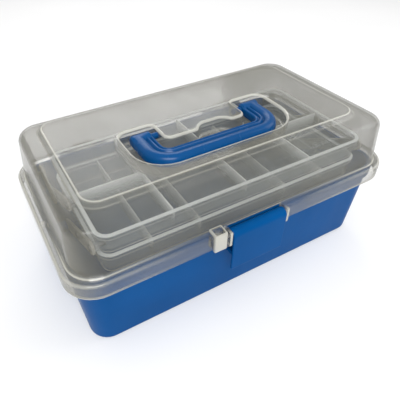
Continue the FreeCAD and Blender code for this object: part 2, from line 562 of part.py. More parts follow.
def makeArm(arm, label, side):
    name = f"{arm.capitalize()}Arm_{label}"
    start = spanStart(side, "armX", "armThick")
    footY, footZ = pivotAt(arm, 0)
    pieces = [makeBar(f"{name}_bar", "armRadius", armLength, "armThick", start, footY, footZ,
                      f"180 deg - {armLean}")]
    holes = []
    for row in (0, 1, 2):
        y, z = pivotAt(arm, row)
        pieces.append(makeRod(f"{name}_eye{row}", "armRadius", "armThick", start, y, z))
        holes.append(makeRod(f"{name}_hole{row}", "rivetRadius + pinGap", "armThick + 2",
                             spanStart(side, "armX - 1", "armThick + 2"), y, z))
    if arm == "rear":
        holes.append(makeRod(f"{name}_linkHole", "rivetRadius + pinGap", "armThick + 2",
                             spanStart(side, "armX - 1", "armThick + 2"), linkY, linkZ))
    piece = cut(name, join(f"{name}_joined", pieces), join(f"{name}_holes", holes))
    piece.Label = f"{arm}_arm_{label}"
    parts.append(piece)


linkY = f"armFootY - linkShare * cos({armLean})"
linkZ = f"armFootZ + linkShare * sin({armLean})"


# The link joins the rear arm to the lid; its hole at the lid is wide, so the lid's pin has free play in it.
def makeLink(label, side):
    name = f"LidLink_{label}"
    near = layer["linkIn"]
    start = spanStart(side, near, "linkThick")
    spanY = f"(linkPinY - ({linkY}))"
    spanZ = f"(linkPinZ - ({linkZ}))"
    length = f"sqrt({spanY} * {spanY} + {spanZ} * {spanZ})"
    turn = f"atan({spanZ} / {spanY})"
    pieces = [
        makeBar(f"{name}_bar", "linkWaist", length, "linkThick", start, linkY, linkZ, turn),
        makeRod(f"{name}_armEnd", "armRadius", "linkThick", start, linkY, linkZ),
        makeRod(f"{name}_lidEnd", "linkRadius", "linkThick", start, "linkPinY", "linkPinZ"),
    ]
    hollow = spanStart(side, f"{near} - 1", "linkThick + 2")
    holes = [
        makeRod(f"{name}_armHole", "rivetRadius + pinGap", "linkThick + 2", hollow, linkY, linkZ),
        makeRod(f"{name}_lidHole", "rivetRadius + linkSlack", "linkThick + 2", hollow, "linkPinY", "linkPinZ"),
    ]
    piece = cut(name, join(f"{name}_joined", pieces), join(f"{name}_holes", holes))
    piece.Label = f"lid_link_{label}"
    parts.append(piece)


def makeRivets():
    tubRivets, linkRivets, lidRivets = [], [], []
    for label, side in sides:
        for arm in ("rear", "front"):
            y, z = pivotAt(arm, 0)
            inside = "armX - layerGap"
            shaft = f"{layer['tubBoss']} + bossHole - layerGap - ({inside})"
            tubRivets.append(join(f"TubRivet_{arm}_{label}", [
                makeRod(f"TubShaft_{arm}_{label}", "rivetRadius", shaft, spanStart(side, inside, shaft), y, z),
                makeRod(f"TubHead_{arm}_{label}", "rivetHead", "headThick",
                        spanStart(side, f"{inside} - headThick", "headThick"), y, z),
            ]))
        inside = "armX - layerGap"
        outside = f"{layer['linkOut']} + layerGap"
        shaft = f"{outside} - ({inside})"
        linkRivets.append(join(f"LinkRivet_{label}", [
            makeRod(f"LinkShaft_{label}", "rivetRadius", shaft, spanStart(side, inside, shaft), linkY, linkZ),
            makeRod(f"LinkHead_{label}", "rivetHead", "headThick",
                    spanStart(side, outside, "headThick"), linkY, linkZ),
            makeRod(f"LinkTail_{label}", "rivetTail", "headThick",
                    spanStart(side, f"{inside} - headThick", "headThick"), linkY, linkZ),
        ]))
        head = layer["headIn"]
        shaft = f"bracketIn + bracketThick - ({head})"
        lidRivets.append(join(f"LidRivet_{label}", [
            makeRod(f"LidShaft_{label}", "rivetRadius", shaft, spanStart(side, head, shaft),
                    "linkPinY", "linkPinZ"),
            makeRod(f"LidHead_{label}", "linkHead", "headThick", spanStart(side, head, "headThick"),
                    "linkPinY", "linkPinZ"),
        ]))
    for label, rivets in (("tub_rivets", tubRivets), ("link_rivets", linkRivets), ("lid_rivets", lidRivets)):
        bundle = group(label.title().replace("_", ""), rivets)
        bundle.Label = label
        parts.append(bundle)


def makeHingePins():
    for label, side in sides:
        pin = makeRod(f"HingePin_{label}", "hingePinRadius", "hingeLength",
                      f"{side} * hingeMiddle - hingeLength / 2", "hingeY", "hingeZ")
        pin.Label = f"hinge_pin_{label}"
        parts.append(pin)


makeTub()
makeLid()
makeHandle()
makeLatch()
edge = "trayLength / 2 - rimLip - trayWall"
makeTray("UpperTray", "upperTop", "upperHeight", 2, ["-upperColumn", "0", "upperColumn"],
         [(f"-({edge})", "-upperColumn"), ("upperColumn", edge)])
makeTray("LowerTray", "lowerTop", "lowerHeight", 1,
         ["-lowerColumn", "-lowerColumnInner", "lowerColumnInner", "lowerColumn"], [])
for label, side in sides:
    for arm in ("rear", "front"):
        makeArm(arm, label, side)
    makeLink(label, side)
makeRivets()
makeHingePins()

doc.recompute()
for item in doc.Objects:
    if "Invalid" in item.State or "Error" in item.State:
        raise RuntimeError(f"{item.Name} did not build: {item.State}")
os.makedirs("parts", exist_ok=True)
for part in parts:
    if part.Shape.isNull() or not part.Shape.isValid():
        raise RuntimeError(f"{part.Label} has no valid shape")
    part.Shape.exportStep(f"parts/{part.Label}.step")
    print(part.Label, len(part.Shape.Solids), round(part.Shape.Volume))
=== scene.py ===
import bpy
import bmesh
import json
from math import acos, atan2, cos, hypot, pi, radians, sin, tan
from mathutils import Matrix, Vector


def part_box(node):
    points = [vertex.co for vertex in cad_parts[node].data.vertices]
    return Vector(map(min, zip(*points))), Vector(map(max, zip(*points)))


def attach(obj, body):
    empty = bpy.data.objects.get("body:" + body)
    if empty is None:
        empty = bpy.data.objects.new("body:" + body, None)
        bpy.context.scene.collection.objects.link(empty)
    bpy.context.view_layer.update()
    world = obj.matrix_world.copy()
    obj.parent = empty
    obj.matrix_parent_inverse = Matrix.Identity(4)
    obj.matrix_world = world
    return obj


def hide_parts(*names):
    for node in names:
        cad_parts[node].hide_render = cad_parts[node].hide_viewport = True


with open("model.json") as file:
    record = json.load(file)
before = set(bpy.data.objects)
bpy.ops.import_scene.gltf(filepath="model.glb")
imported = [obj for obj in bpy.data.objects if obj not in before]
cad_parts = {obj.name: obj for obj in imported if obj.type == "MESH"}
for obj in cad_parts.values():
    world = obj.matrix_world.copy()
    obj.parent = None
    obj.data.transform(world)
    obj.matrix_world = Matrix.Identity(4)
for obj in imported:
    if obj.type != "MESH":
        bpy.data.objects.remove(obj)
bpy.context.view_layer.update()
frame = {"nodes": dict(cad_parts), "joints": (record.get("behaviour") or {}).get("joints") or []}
mm = 0.001
mergeGap = 0.01 * mm  # points nearer than this are one after a cut


def nodeBox(node):
    low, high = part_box(node)
    return low / mm, high / mm


def jointAt(name):
    joint = next(j for j in frame["joints"] if j["name"] == name)
    return joint["pos_m"][1] / mm, joint["pos_m"][2] / mm


# Outlines are in millimetres and run anticlockwise from above.
def roundedRect(halfX, halfY, corner, z, middleY=0.0, steps=9):
    points = []
    for signX, signY, start in ((1, -1, -90), (1, 1, 0), (-1, 1, 90), (-1, -1, 180)):
        for step in range(steps + 1):
            angle = radians(start + 90 * step / steps)
            points.append((signX * (halfX - corner) + corner * cos(angle),
                           middleY + signY * (halfY - corner) + corner * sin(angle), z))
    return points


# A polygon of (x, y, corner radius) moved outwards by grow, each corner an arc of the same number of points.
def roundedLoop(corners, grow, z, steps=6):
    edges = []
    for (ax, ay, _), (bx, by, _) in zip(corners, corners[1:] + corners[:1]):
        length = hypot(bx - ax, by - ay)
        ux, uy = (bx - ax) / length, (by - ay) / length
        edges.append((ax + uy * grow, ay - ux * grow, ux, uy))
    points = []
    for number, (_, _, corner) in enumerate(corners):
        px, py, ux, uy = edges[number - 1]
        qx, qy, vx, vy = edges[number]
        cross = ux * vy - uy * vx
        along = ((qx - px) * vy - (qy - py) * vx) / cross
        turn = atan2(cross, ux * vx + uy * vy)
        side = 1 if turn > 0 else -1
        radius = max(corner + side * grow, 0.3)
        back = along - radius * tan(abs(turn) / 2)
        centreX, centreY = px + ux * back - uy * radius * side, py + uy * back + ux * radius * side
        start = atan2(-ux * side, uy * side)
        for step in range(steps + 1):
            angle = start + turn * step / steps
            points.append((centreX + radius * cos(angle), centreY + radius * sin(angle), z))
    return points


# A mesh whose points carry a float for the painted highlight along the edges and creases of clear plastic.
def newMesh():
    bm = bmesh.new()
    bm.verts.layers.float.new("edge")
    return bm


# A loop of vertices; the last number is how much painted highlight lies on it, along the edges and creases of
# clear plastic.
def ring(bm, points, paintedGlint=0.0):
    layer = bm.verts.layers.float.get("edge")
    made = []
    for point in points:
        vertex = bm.verts.new(Vector(point) * mm)
        if layer:
            vertex[layer] = paintedGlint
        made.append(vertex)
    return made


def loft(bm, rings):
    for lower, upper in zip(rings, rings[1:]):
        for i in range(len(lower)):
            j = (i + 1) % len(lower)
            bm.faces.new((lower[i], lower[j], upper[j], upper[i]))
    return rings


def fill(bm, *loops):
    edges = []
    for loop in loops:
        for a, b in zip(loop, loop[1:] + loop[:1]):
            edges.append(bm.edges.get((a, b)) or bm.edges.new((a, b)))
    bmesh.ops.triangle_fill(bm, use_beauty=True, use_dissolve=False, edges=edges)


def block(bm, low, high, bevel=0.5, steps=2):
    made = bmesh.ops.create_cube(bm, size=1.0)["verts"]
    size = [(b - a) * mm for a, b in zip(low, high)]
    middle = [(b + a) * mm / 2 for a, b in zip(low, high)]
    for v in made:
        v.co = Vector([v.co[i] * size[i] + middle[i] for i in range(3)])
    edges = list({e for v in made for e in v.link_edges})
    if bevel:
        bmesh.ops.bevel(bm, geom=edges, offset=bevel * mm, segments=steps, profile=0.5, affect="EDGES")


# A closed solid turned about an axis along x or z: profile gives (distance along, radius) pairs.
def turned(bm, profile, centre, along="x", steps=32):
    rings = []
    for distance, radius in profile:
        points = []
        for step in range(steps):
            angle = 2 * pi * step / steps
            a, b = radius * cos(angle), radius * sin(angle)
            points.append((distance, centre[0] + a, centre[1] + b) if along == "x"
                          else (centre[0] + a, centre[1] + b, distance))
        rings.append(ring(bm, points))
    loft(bm, rings)
    bm.faces.new(rings[0][::-1])
    bm.faces.new(rings[-1])


def rod(bm, start, end, centre, radius, along="x", bevel=0.4, steps=32):
    profile = [(start, radius - bevel), (start + bevel, radius), (end - bevel, radius), (end, radius - bevel)]
    turned(bm, profile if bevel else [profile[0], profile[-1]], centre, along, steps)


def faceOut(bm):
    bmesh.ops.recalc_face_normals(bm, faces=bm.faces)
    if bm.calc_volume(signed=True) < 0:
        bmesh.ops.reverse_faces(bm, faces=bm.faces)


def addObject(name, data):
    item = bpy.data.objects.new(name, data)
    bpy.context.scene.collection.objects.link(item)
    return item


def makePiece(name, bm, sharp=38):
    faceOut(bm)
    mesh = bpy.data.meshes.new(name)
    bm.to_mesh(mesh)
    bm.free()
    piece = addObject(name, mesh)
    shade(piece, sharp)
    return piece


def shade(piece, sharp):
    for face in piece.data.polygons:
        face.use_smooth = True
    piece.data.set_sharp_from_angle(angle=radians(sharp))


# The evaluated mesh takes the place of the piece's own, and its modifiers go; a curve becomes a mesh object.
def settle(piece):
    graph = bpy.context.evaluated_depsgraph_get()
    graph.update()
    mesh = bpy.data.meshes.new_from_object(piece.evaluated_get(graph), depsgraph=graph)
    old = piece.data
    if piece.type == "CURVE":
        name = piece.name
        solid = addObject(name + "Mesh", mesh)
        bpy.data.objects.remove(piece)
        solid.name = name
        return solid
    piece.modifiers.clear()
    piece.data = mesh
    bpy.data.meshes.remove(old)
    return piece


# Joins or cuts with each (operation, mesh) in turn, then weights the normals by face area.
def carve(piece, steps, sharp=38):
    tools = []
    for number, (operation, bm) in enumerate(steps):
        tool = makePiece(f"{piece.name}Tool{number}", bm)
        modifier = piece.modifiers.new(f"carve{number}", "BOOLEAN")
        modifier.operation = operation
        modifier.solver = "EXACT"
        modifier.object = tool
        tools.append(tool)
    settle(piece)
    for tool in tools:
        mesh = tool.data
        bpy.data.objects.remove(tool)
        bpy.data.meshes.remove(mesh)
    bm = bmesh.new()
    bm.from_mesh(piece.data)
    bmesh.ops.remove_doubles(bm, verts=bm.verts, dist=mergeGap)
    bmesh.ops.dissolve_degenerate(bm, edges=bm.edges, dist=mergeGap)
    bm.to_mesh(piece.data)
    bm.free()
    shade(piece, sharp)
    smoothFlats(piece)
    return piece


def smoothFlats(piece):
    weighted = piece.modifiers.new("flats", "WEIGHTED_NORMAL")
    weighted.keep_sharp = True
    weighted.weight = 60
    settle(piece)


def dress(piece, material, slot, body, *nodes):
    piece.data.materials.clear()
    piece.data.materials.append(material)
    if nodes:
        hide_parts(*nodes)
    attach(piece, body)


# Gives a node's socket a number or another node's output.
def feed(tree, socket, value):
    if isinstance(value, (int, float)):
        socket.default_value = value
    else:
        tree.links.new(value, socket)


def addMaths(tree, operation, first, second=0.0, clamp=False):
    node = tree.nodes.new("ShaderNodeMath")
    node.operation = operation
    node.use_clamp = clamp
    feed(tree, node.inputs[0], first)
    feed(tree, node.inputs[1], second)
    return node.outputs[0]


def addVector(tree, x, y, z):
    node = tree.nodes.new("ShaderNodeCombineXYZ")
    for label, value in (("X", x), ("Y", y), ("Z", z)):
        feed(tree, node.inputs[label], value)
    return node.outputs[0]


def newMaterial(name):
    material = bpy.data.materials.new(name)
    material.use_nodes = True
    tree = material.node_tree
    surface = tree.nodes["Principled BSDF"]
    place = tree.nodes.new("ShaderNodeTexCoord")
    return material, tree, surface, place


def addNoise(tree, place, scale, detail=3.0, stretch=(1, 1, 1), roughness=0.5):
    mapping = tree.nodes.new("ShaderNodeMapping")
    mapping.inputs["Scale"].default_value = stretch
    noise = tree.nodes.new("ShaderNodeTexNoise")
    noise.inputs["Scale"].default_value = scale
    noise.inputs["Detail"].default_value = detail
    noise.inputs["Roughness"].default_value = roughness
    tree.links.new(place.outputs["Object"], mapping.inputs["Vector"])
    tree.links.new(mapping.outputs["Vector"], noise.inputs["Vector"])
    return noise.outputs["Fac"]


def mapTo(tree, source, low, high, fromLow=0.3, fromHigh=0.7):
    node = tree.nodes.new("ShaderNodeMapRange")
    node.inputs["From Min"].default_value = fromLow
    node.inputs["From Max"].default_value = fromHigh
    node.inputs["To Min"].default_value = low
    node.inputs["To Max"].default_value = high
    tree.links.new(source, node.inputs["Value"])
    return node.outputs["Result"]


def blendColour(tree, source, first, second):
    ramp = tree.nodes.new("ShaderNodeValToRGB")
    ramp.color_ramp.elements[0].position = 0.3
    ramp.color_ramp.elements[1].position = 0.7
    ramp.color_ramp.elements[0].color = (*first, 1)
    ramp.color_ramp.elements[1].color = (*second, 1)
    tree.links.new(source, ramp.inputs["Fac"])
    return ramp.outputs["Color"]


def addBump(tree, surface, height, strength, distance, under=None):
    bump = tree.nodes.new("ShaderNodeBump")
    bump.inputs["Strength"].default_value = strength
    bump.inputs["Distance"].default_value = distance
    tree.links.new(height, bump.inputs["Height"])
    if under:
        tree.links.new(under, bump.inputs["Normal"])
    tree.links.new(bump.outputs["Normal"], surface.inputs["Normal"])
    return bump.outputs["Normal"]


mouldedBlue = {"deep": (0.0, 0.058, 0.205), "light": (0.0, 0.072, 0.250), "shine": 0.05, "roughLow": 0.30,
               "roughHigh": 0.42, "grain": 1400, "grainHeight": 0.00004, "wave": 22, "waveHeight": 0.0006}
gripBlue = {"deep": (0.0, 0.050, 0.170), "light": (0.0, 0.066, 0.225), "shine": 0.22, "roughLow": 0.18,
            "roughHigh": 0.30, "grain": 1100, "grainHeight": 0.00002, "wave": 35, "waveHeight": 0.0003}


def makeBlue(name, look):
    material, tree, surface, place = newMaterial(name)
    cloud = addNoise(tree, place, 14, 4)
    tree.links.new(blendColour(tree, cloud, look["deep"], look["light"]), surface.inputs["Base Color"])
    scuff = addNoise(tree, place, 60, 6, (1, 1, 0.25), 0.65)
    tree.links.new(mapTo(tree, scuff, look["roughLow"], look["roughHigh"]), surface.inputs["Roughness"])
    wave = addNoise(tree, place, look["wave"], 2)
    grain = addNoise(tree, place, look["grain"], 2)
    under = addBump(tree, surface, wave, 0.25, look["waveHeight"])
    addBump(tree, surface, grain, 0.5, look["grainHeight"], under)
    surface.inputs["IOR"].default_value = 1.49
    surface.inputs["Specular IOR Level"].default_value = look["shine"]
    return material


reflectionEnds = (0.135, 0.16)  # where the painted reflection of the room grows, from and to, in metres out from the middle
reflectionRear = (0.02, 0.085)
# The highlight colour and its alpha paint a highlight along edges and creases; the far alpha paints a
# reflection of the room on the lid's rear and ends.
lidLook = {"deep": (0.205, 0.200, 0.165), "light": (0.275, 0.268, 0.225), "paintedGlint": (0.66, 0.65, 0.58),
           "alpha": 0.17, "edgeAlpha": 0.60, "paintedGlintAlpha": 0.50, "paintedReflectionAlpha": 0.22, "roughLow": 0.10,
           "roughHigh": 0.22, "shine": 0.5, "coat": 0.25, "wave": 16, "waveHeight": 0.0008}
trayLook = {"deep": (0.28, 0.31, 0.32), "light": (0.38, 0.42, 0.43), "paintedGlint": (0.80, 0.83, 0.82),
            "alpha": 0.12, "edgeAlpha": 0.50, "paintedGlintAlpha": 0.60, "paintedReflectionAlpha": 0.0, "roughLow": 0.14,
            "roughHigh": 0.28, "shine": 0.5, "coat": 0.1, "wave": 24, "waveHeight": 0.0004}
armLook = {"deep": (0.42, 0.41, 0.37), "light": (0.56, 0.55, 0.50), "paintedGlint": (0.86, 0.85, 0.80),
           "alpha": 0.60, "edgeAlpha": 0.90, "paintedGlintAlpha": 0.3, "paintedReflectionAlpha": 0.0, "roughLow": 0.28,
           "roughHigh": 0.42, "shine": 0.5, "coat": 0.1, "wave": 40, "waveHeight": 0.0004}


def makeClear(name, look):
    material, tree, surface, place = newMaterial(name)
    # The edge attribute paints a highlight: a pale colour and more opacity along edges and creases.
    paintedGlint = tree.nodes.new("ShaderNodeAttribute")
    paintedGlint.attribute_name = "edge"
    cloud = blendColour(tree, addNoise(tree, place, 9, 5), look["deep"], look["light"])
    colour = tree.nodes.new("ShaderNodeMix")
    colour.data_type = "RGBA"
    colour.inputs["B"].default_value = (*look["paintedGlint"], 1)
    tree.links.new(paintedGlint.outputs["Fac"], colour.inputs["Factor"])
    tree.links.new(cloud, colour.inputs["A"])
    tree.links.new(colour.outputs["Result"], surface.inputs["Base Color"])
    facing = tree.nodes.new("ShaderNodeLayerWeight")
    facing.inputs["Blend"].default_value = 0.4
    alpha = mapTo(tree, facing.outputs["Facing"], look["alpha"], look["edgeAlpha"], 0.25, 1.0)
    haze = mapTo(tree, addNoise(tree, place, 30, 4), -0.02, 0.03)
    spot = tree.nodes.new("ShaderNodeSeparateXYZ")  # painted reflection of the room: more opaque, so the lid's own tone shows more, towards the rear and the ends
    tree.links.new(place.outputs["Object"], spot.inputs["Vector"])
    endwards = addMaths(tree, "ABSOLUTE", spot.outputs["X"])
    reflectionAtEnds = mapTo(tree, endwards, 0.0, look["paintedReflectionAlpha"], *reflectionEnds)
    reflectionAtRear = mapTo(tree, spot.outputs["Y"], 0.0, look["paintedReflectionAlpha"], *reflectionRear)
    far = addMaths(tree, "MAXIMUM", reflectionAtEnds, reflectionAtRear)
    for more in (haze, far, mapTo(tree, paintedGlint.outputs["Fac"], 0.0, look["paintedGlintAlpha"], 0.0, 1.0)):
        alpha = addMaths(tree, "ADD", alpha, more, True)
    tree.links.new(alpha, surface.inputs["Alpha"])
    smear = addNoise(tree, place, 45, 6, (1, 0.4, 1), 0.6)
    tree.links.new(mapTo(tree, smear, look["roughLow"], look["roughHigh"]), surface.inputs["Roughness"])
    wave = addNoise(tree, place, look["wave"], 3)
    addBump(tree, surface, wave, 0.35, look["waveHeight"])
    surface.inputs["IOR"].default_value = 1.5
    surface.inputs["Specular IOR Level"].default_value = look["shine"]
    surface.inputs["Coat Weight"].default_value = look["coat"]
    surface.inputs["Coat Roughness"].default_value = 0.12
    return material


def makeMetal(name, deep, light, roughLow, roughHigh):
    material, tree, surface, place = newMaterial(name)
    cloud = addNoise(tree, place, 300, 5)
    tree.links.new(blendColour(tree, cloud, deep, light), surface.inputs["Base Color"])
    brushed = addNoise(tree, place, 900, 3, (0.15, 1, 1))
    tree.links.new(mapTo(tree, brushed, roughLow, roughHigh), surface.inputs["Roughness"])
    addBump(tree, surface, brushed, 0.3, 0.00005)
    surface.inputs["Metallic"].default_value = 1.0
    return material


tubBlue = makeBlue("mouldedBlue", mouldedBlue)
handleBlue = makeBlue("gripBlue", gripBlue)
clearLid = makeClear("hazyLid", lidLook)
clearTray = makeClear("hazyTray", trayLook)
milkyArm = makeClear("milkyArm", armLook)
dullRivet = makeMetal("dullRivet", (0.16, 0.16, 0.165), (0.30, 0.30, 0.31), 0.35, 0.55)
brightPin = makeMetal("brightPin", (0.42, 0.42, 0.43), (0.62, 0.62, 0.63), 0.22, 0.38)
print("materials ready")

# Where things are, in millimetres; a joint or a pivot is a pair, y and z.
tubHigh = nodeBox("tub")[1]
lidHigh = nodeBox("lid")[1]
hinge = jointAt("lid_hinge")
latchPin = jointAt("latch_swing")
handlePivot = jointAt("handle_fold")
feet = {"rear": jointAt("rear_arm_swing"), "front": jointAt("front_arm_swing")}
pitch = feet["rear"][0] - feet["front"][0]
lowerRear, upperRear = jointAt("lower_tray_level"), jointAt("upper_tray_level")
pivots = {"rear": [feet["rear"], lowerRear, upperRear],
          "front": [feet["front"], (lowerRear[0] - pitch, lowerRear[1]),
                    (upperRear[0] - pitch, upperRear[1])]}
linkFoot = jointAt("lid_link_turn")
pinLow, pinHigh = nodeBox("lid_rivets")
lidPin = ((pinLow.y + pinHigh.y) / 2, (pinLow.z + pinHigh.z) / 2)
armOut = nodeBox("rear_arm_right")[1].x
sides = (-1, 1)


# The lower and upper x of something at one end of the box.
def span(side, near, far):
    return (near, far) if side > 0 else (-far, -near)


tub = {"halfX": 152.0, "halfY": 80.75, "corner": 18.0, "draft": 3.7, "wall": 2.2, "floor": 2.4, "foot": 4.0,
       "rimHalfX": tubHigh.x, "rimHalfY": 88.0, "rimCorner": 24.0, "rimBottom": 77.0, "rimTop": 88.0,
       "boss": 5.0, "bossEnd": 152.0, "catchHalf": 22.2, "catchY": -92.0, "catchLow": 54.4, "catchHigh": 58.4,
       "knuckle": 5.0, "hingeMiddle": 90.0, "hingeHalf": 26.0, "lidKnuckleHalf": 11.5, "gap": 0.4,
       "middleZ": 40.0, "lugHalf": 4.5, "lugFront": -96.5, "lugLow": 77.5, "lugHigh": 87.0, "eyeX": -40.0,
       "eyeY": -93.3, "eyeHole": 3.5, "pocketHalf": 33.7, "pocketY": -86.8}


# Blocks, bosses and holes are collected in one mesh each, for two joins and one cut.
def makeTub(s):
    bm = bmesh.new()
    lean = tan(radians(s["draft"]))

    def wallRing(z, inset=0.0):
        out = z * lean - inset
        return ring(bm, roundedRect(s["halfX"] + out, s["halfY"] + out, max(s["corner"] + out, 2.0), z))

    rings = []
    for step in range(6):  # foot fillet
        angle = radians(90 * step / 5)
        rings.append(wallRing(s["foot"] * (1 - cos(angle)), s["foot"] * (1 - sin(angle))))
    rings.append(wallRing(s["middleZ"]))
    rings.append(wallRing(s["rimBottom"] - 1.2))
    rim = [(s["rimBottom"] - 0.4, -1.6), (s["rimBottom"], -0.5), (s["rimBottom"] + 0.5, 0.0),
           (s["rimTop"] - 1.0, 0.0), (s["rimTop"] - 0.3, -0.3), (s["rimTop"], -1.0)]
    for z, out in rim:
        rings.append(ring(bm, roundedRect(s["rimHalfX"] + out, s["rimHalfY"] + out, s["rimCorner"] + out, z)))
    inside = s["wall"]
    rings.append(wallRing(s["rimTop"], inside + 0.8))
    rings.append(wallRing(s["rimTop"] - 0.8, inside))
    rings.append(wallRing(s["middleZ"], inside))
    for step in range(6):  # inner foot fillet
        angle = radians(90 * step / 5)
        rings.append(wallRing(s["floor"] + s["foot"] * (1 - sin(angle)),
                              inside + s["foot"] * (1 - cos(angle))))
    loft(bm, rings)
    fill(bm, rings[0])
    fill(bm, rings[-1])
    piece = makePiece("tubShell", bm)
    extra = bmesh.new()
    holes = bmesh.new()
    block(extra, (-s["catchHalf"], s["catchY"], s["catchLow"]),
          (s["catchHalf"], -s["halfY"], s["catchHigh"]), 0.8)
    block(extra, (s["eyeX"] - s["lugHalf"], s["lugFront"], s["lugLow"]),
          (s["eyeX"] + s["lugHalf"], -s["rimHalfY"] + 2, s["lugHigh"]), 0.6)
    rod(holes, s["lugLow"] - 3, s["lugHigh"] + 6, (s["eyeX"], s["eyeY"]), s["eyeHole"], "z", 0.0)
    block(holes, (-s["pocketHalf"], s["pocketY"] - 20, s["rimBottom"] + 0.01),
          (s["pocketHalf"], s["pocketY"], s["rimTop"] + 5), 0)
    for side in sides:
        for end in sides:
            inner, outer = s["lidKnuckleHalf"] + s["gap"], s["hingeHalf"]
            middle = side * s["hingeMiddle"]
            start, stop = sorted((middle + end * inner, middle + end * outer))
            rod(extra, start, stop, hinge, s["knuckle"])
            block(extra, (start + 0.3, s["rimHalfY"] - 1.2, hinge[1] - s["knuckle"] + 0.3),
                  (stop - 0.3, hinge[0], hinge[1] + s["knuckle"] * 0.5), 0.3)
    bosses = bmesh.new()
    for side in sides:
        for arm in pivots.values():
            near, far = span(side, armOut + 0.6, s["bossEnd"] + 3)
            rod(bosses, near, far, arm[0], s["boss"])
    carve(piece, [("UNION", extra), ("UNION", bosses), ("DIFFERENCE", holes)])
    dress(piece, tubBlue, "tub", "base", "tub")


makeTub(tub)
print("tub made")


lid = {"halfX": lidHigh.x, "halfY": 94.0, "corner": 28.0, "bottom": 77.0, "shelf": 92.0, "wall": 2.0,
       "domeHalfX": 158.5, "domeHalfY": 87.75, "domeCorner": 24.0, "domeTop": 136.5, "draft": 5.1,
       "edge": 8.0, "panelHalfX": 134.0, "panelHalfY": 65.5, "panelCorner": 14.0, "panelY": 5.0,
       # rings up the panel's sloping border: out from its edge, up from the dome, and how much painted
       # highlight
       "border": [(5.5, 0.0, 0.0), (4.5, 0.25, 0.5), (3.5, 0.9, 0.1), (1.2, 2.6, 0.1), (0.3, 3.25, 0.8),
                  (-0.5, 3.5, 0.8), (-1.1, 3.5, 0.0)],
       "footGlint": 0.9, "shelfGlint": 0.55, "filletGlint": 0.75, "brimGlint": 0.9, "wellGlint": 0.5,
       "floor": 127.0, "brim": 2.4, "floorFillet": 2.0, "recessDraft": 0.3,
       "recess": [(-78, -46.5, 30), (78, -46.5, 30), (78, 17, 9), (43, 17, 5), (43, -12, 8), (26, -12, 5),
                  (21, -4, 11), (-5, -4, 11), (-10, -12, 5), (-43, -12, 8), (-43, 17, 5), (-78, 17, 9)],
       "earIn": 28.3, "earOut": 31.3, "earFront": -97.6, "earBack": -86.8, "eyeX": -40.0, "eyeY": -93.3,
       "eyeHalf": 6.0, "eyeFront": -98.0, "eyeTop": 96.0, "eyeHole": 3.5, "knuckle": 5.0, "knuckleHalf": 11.5,
       "hingeMiddle": 90.0, "tabX": 157.2, "tabOut": 162.9, "tabY": -12.5, "tabHalf": 3.5, "tabTop": 95.5,
       "bracketX": 146.0, "bracketHalf": 4.5, "stub": 3.2, "tongueHalf": 43.0, "rearLow": 88.4,
       "eyeBack": -85.0, "eyeRoof": 88.2}


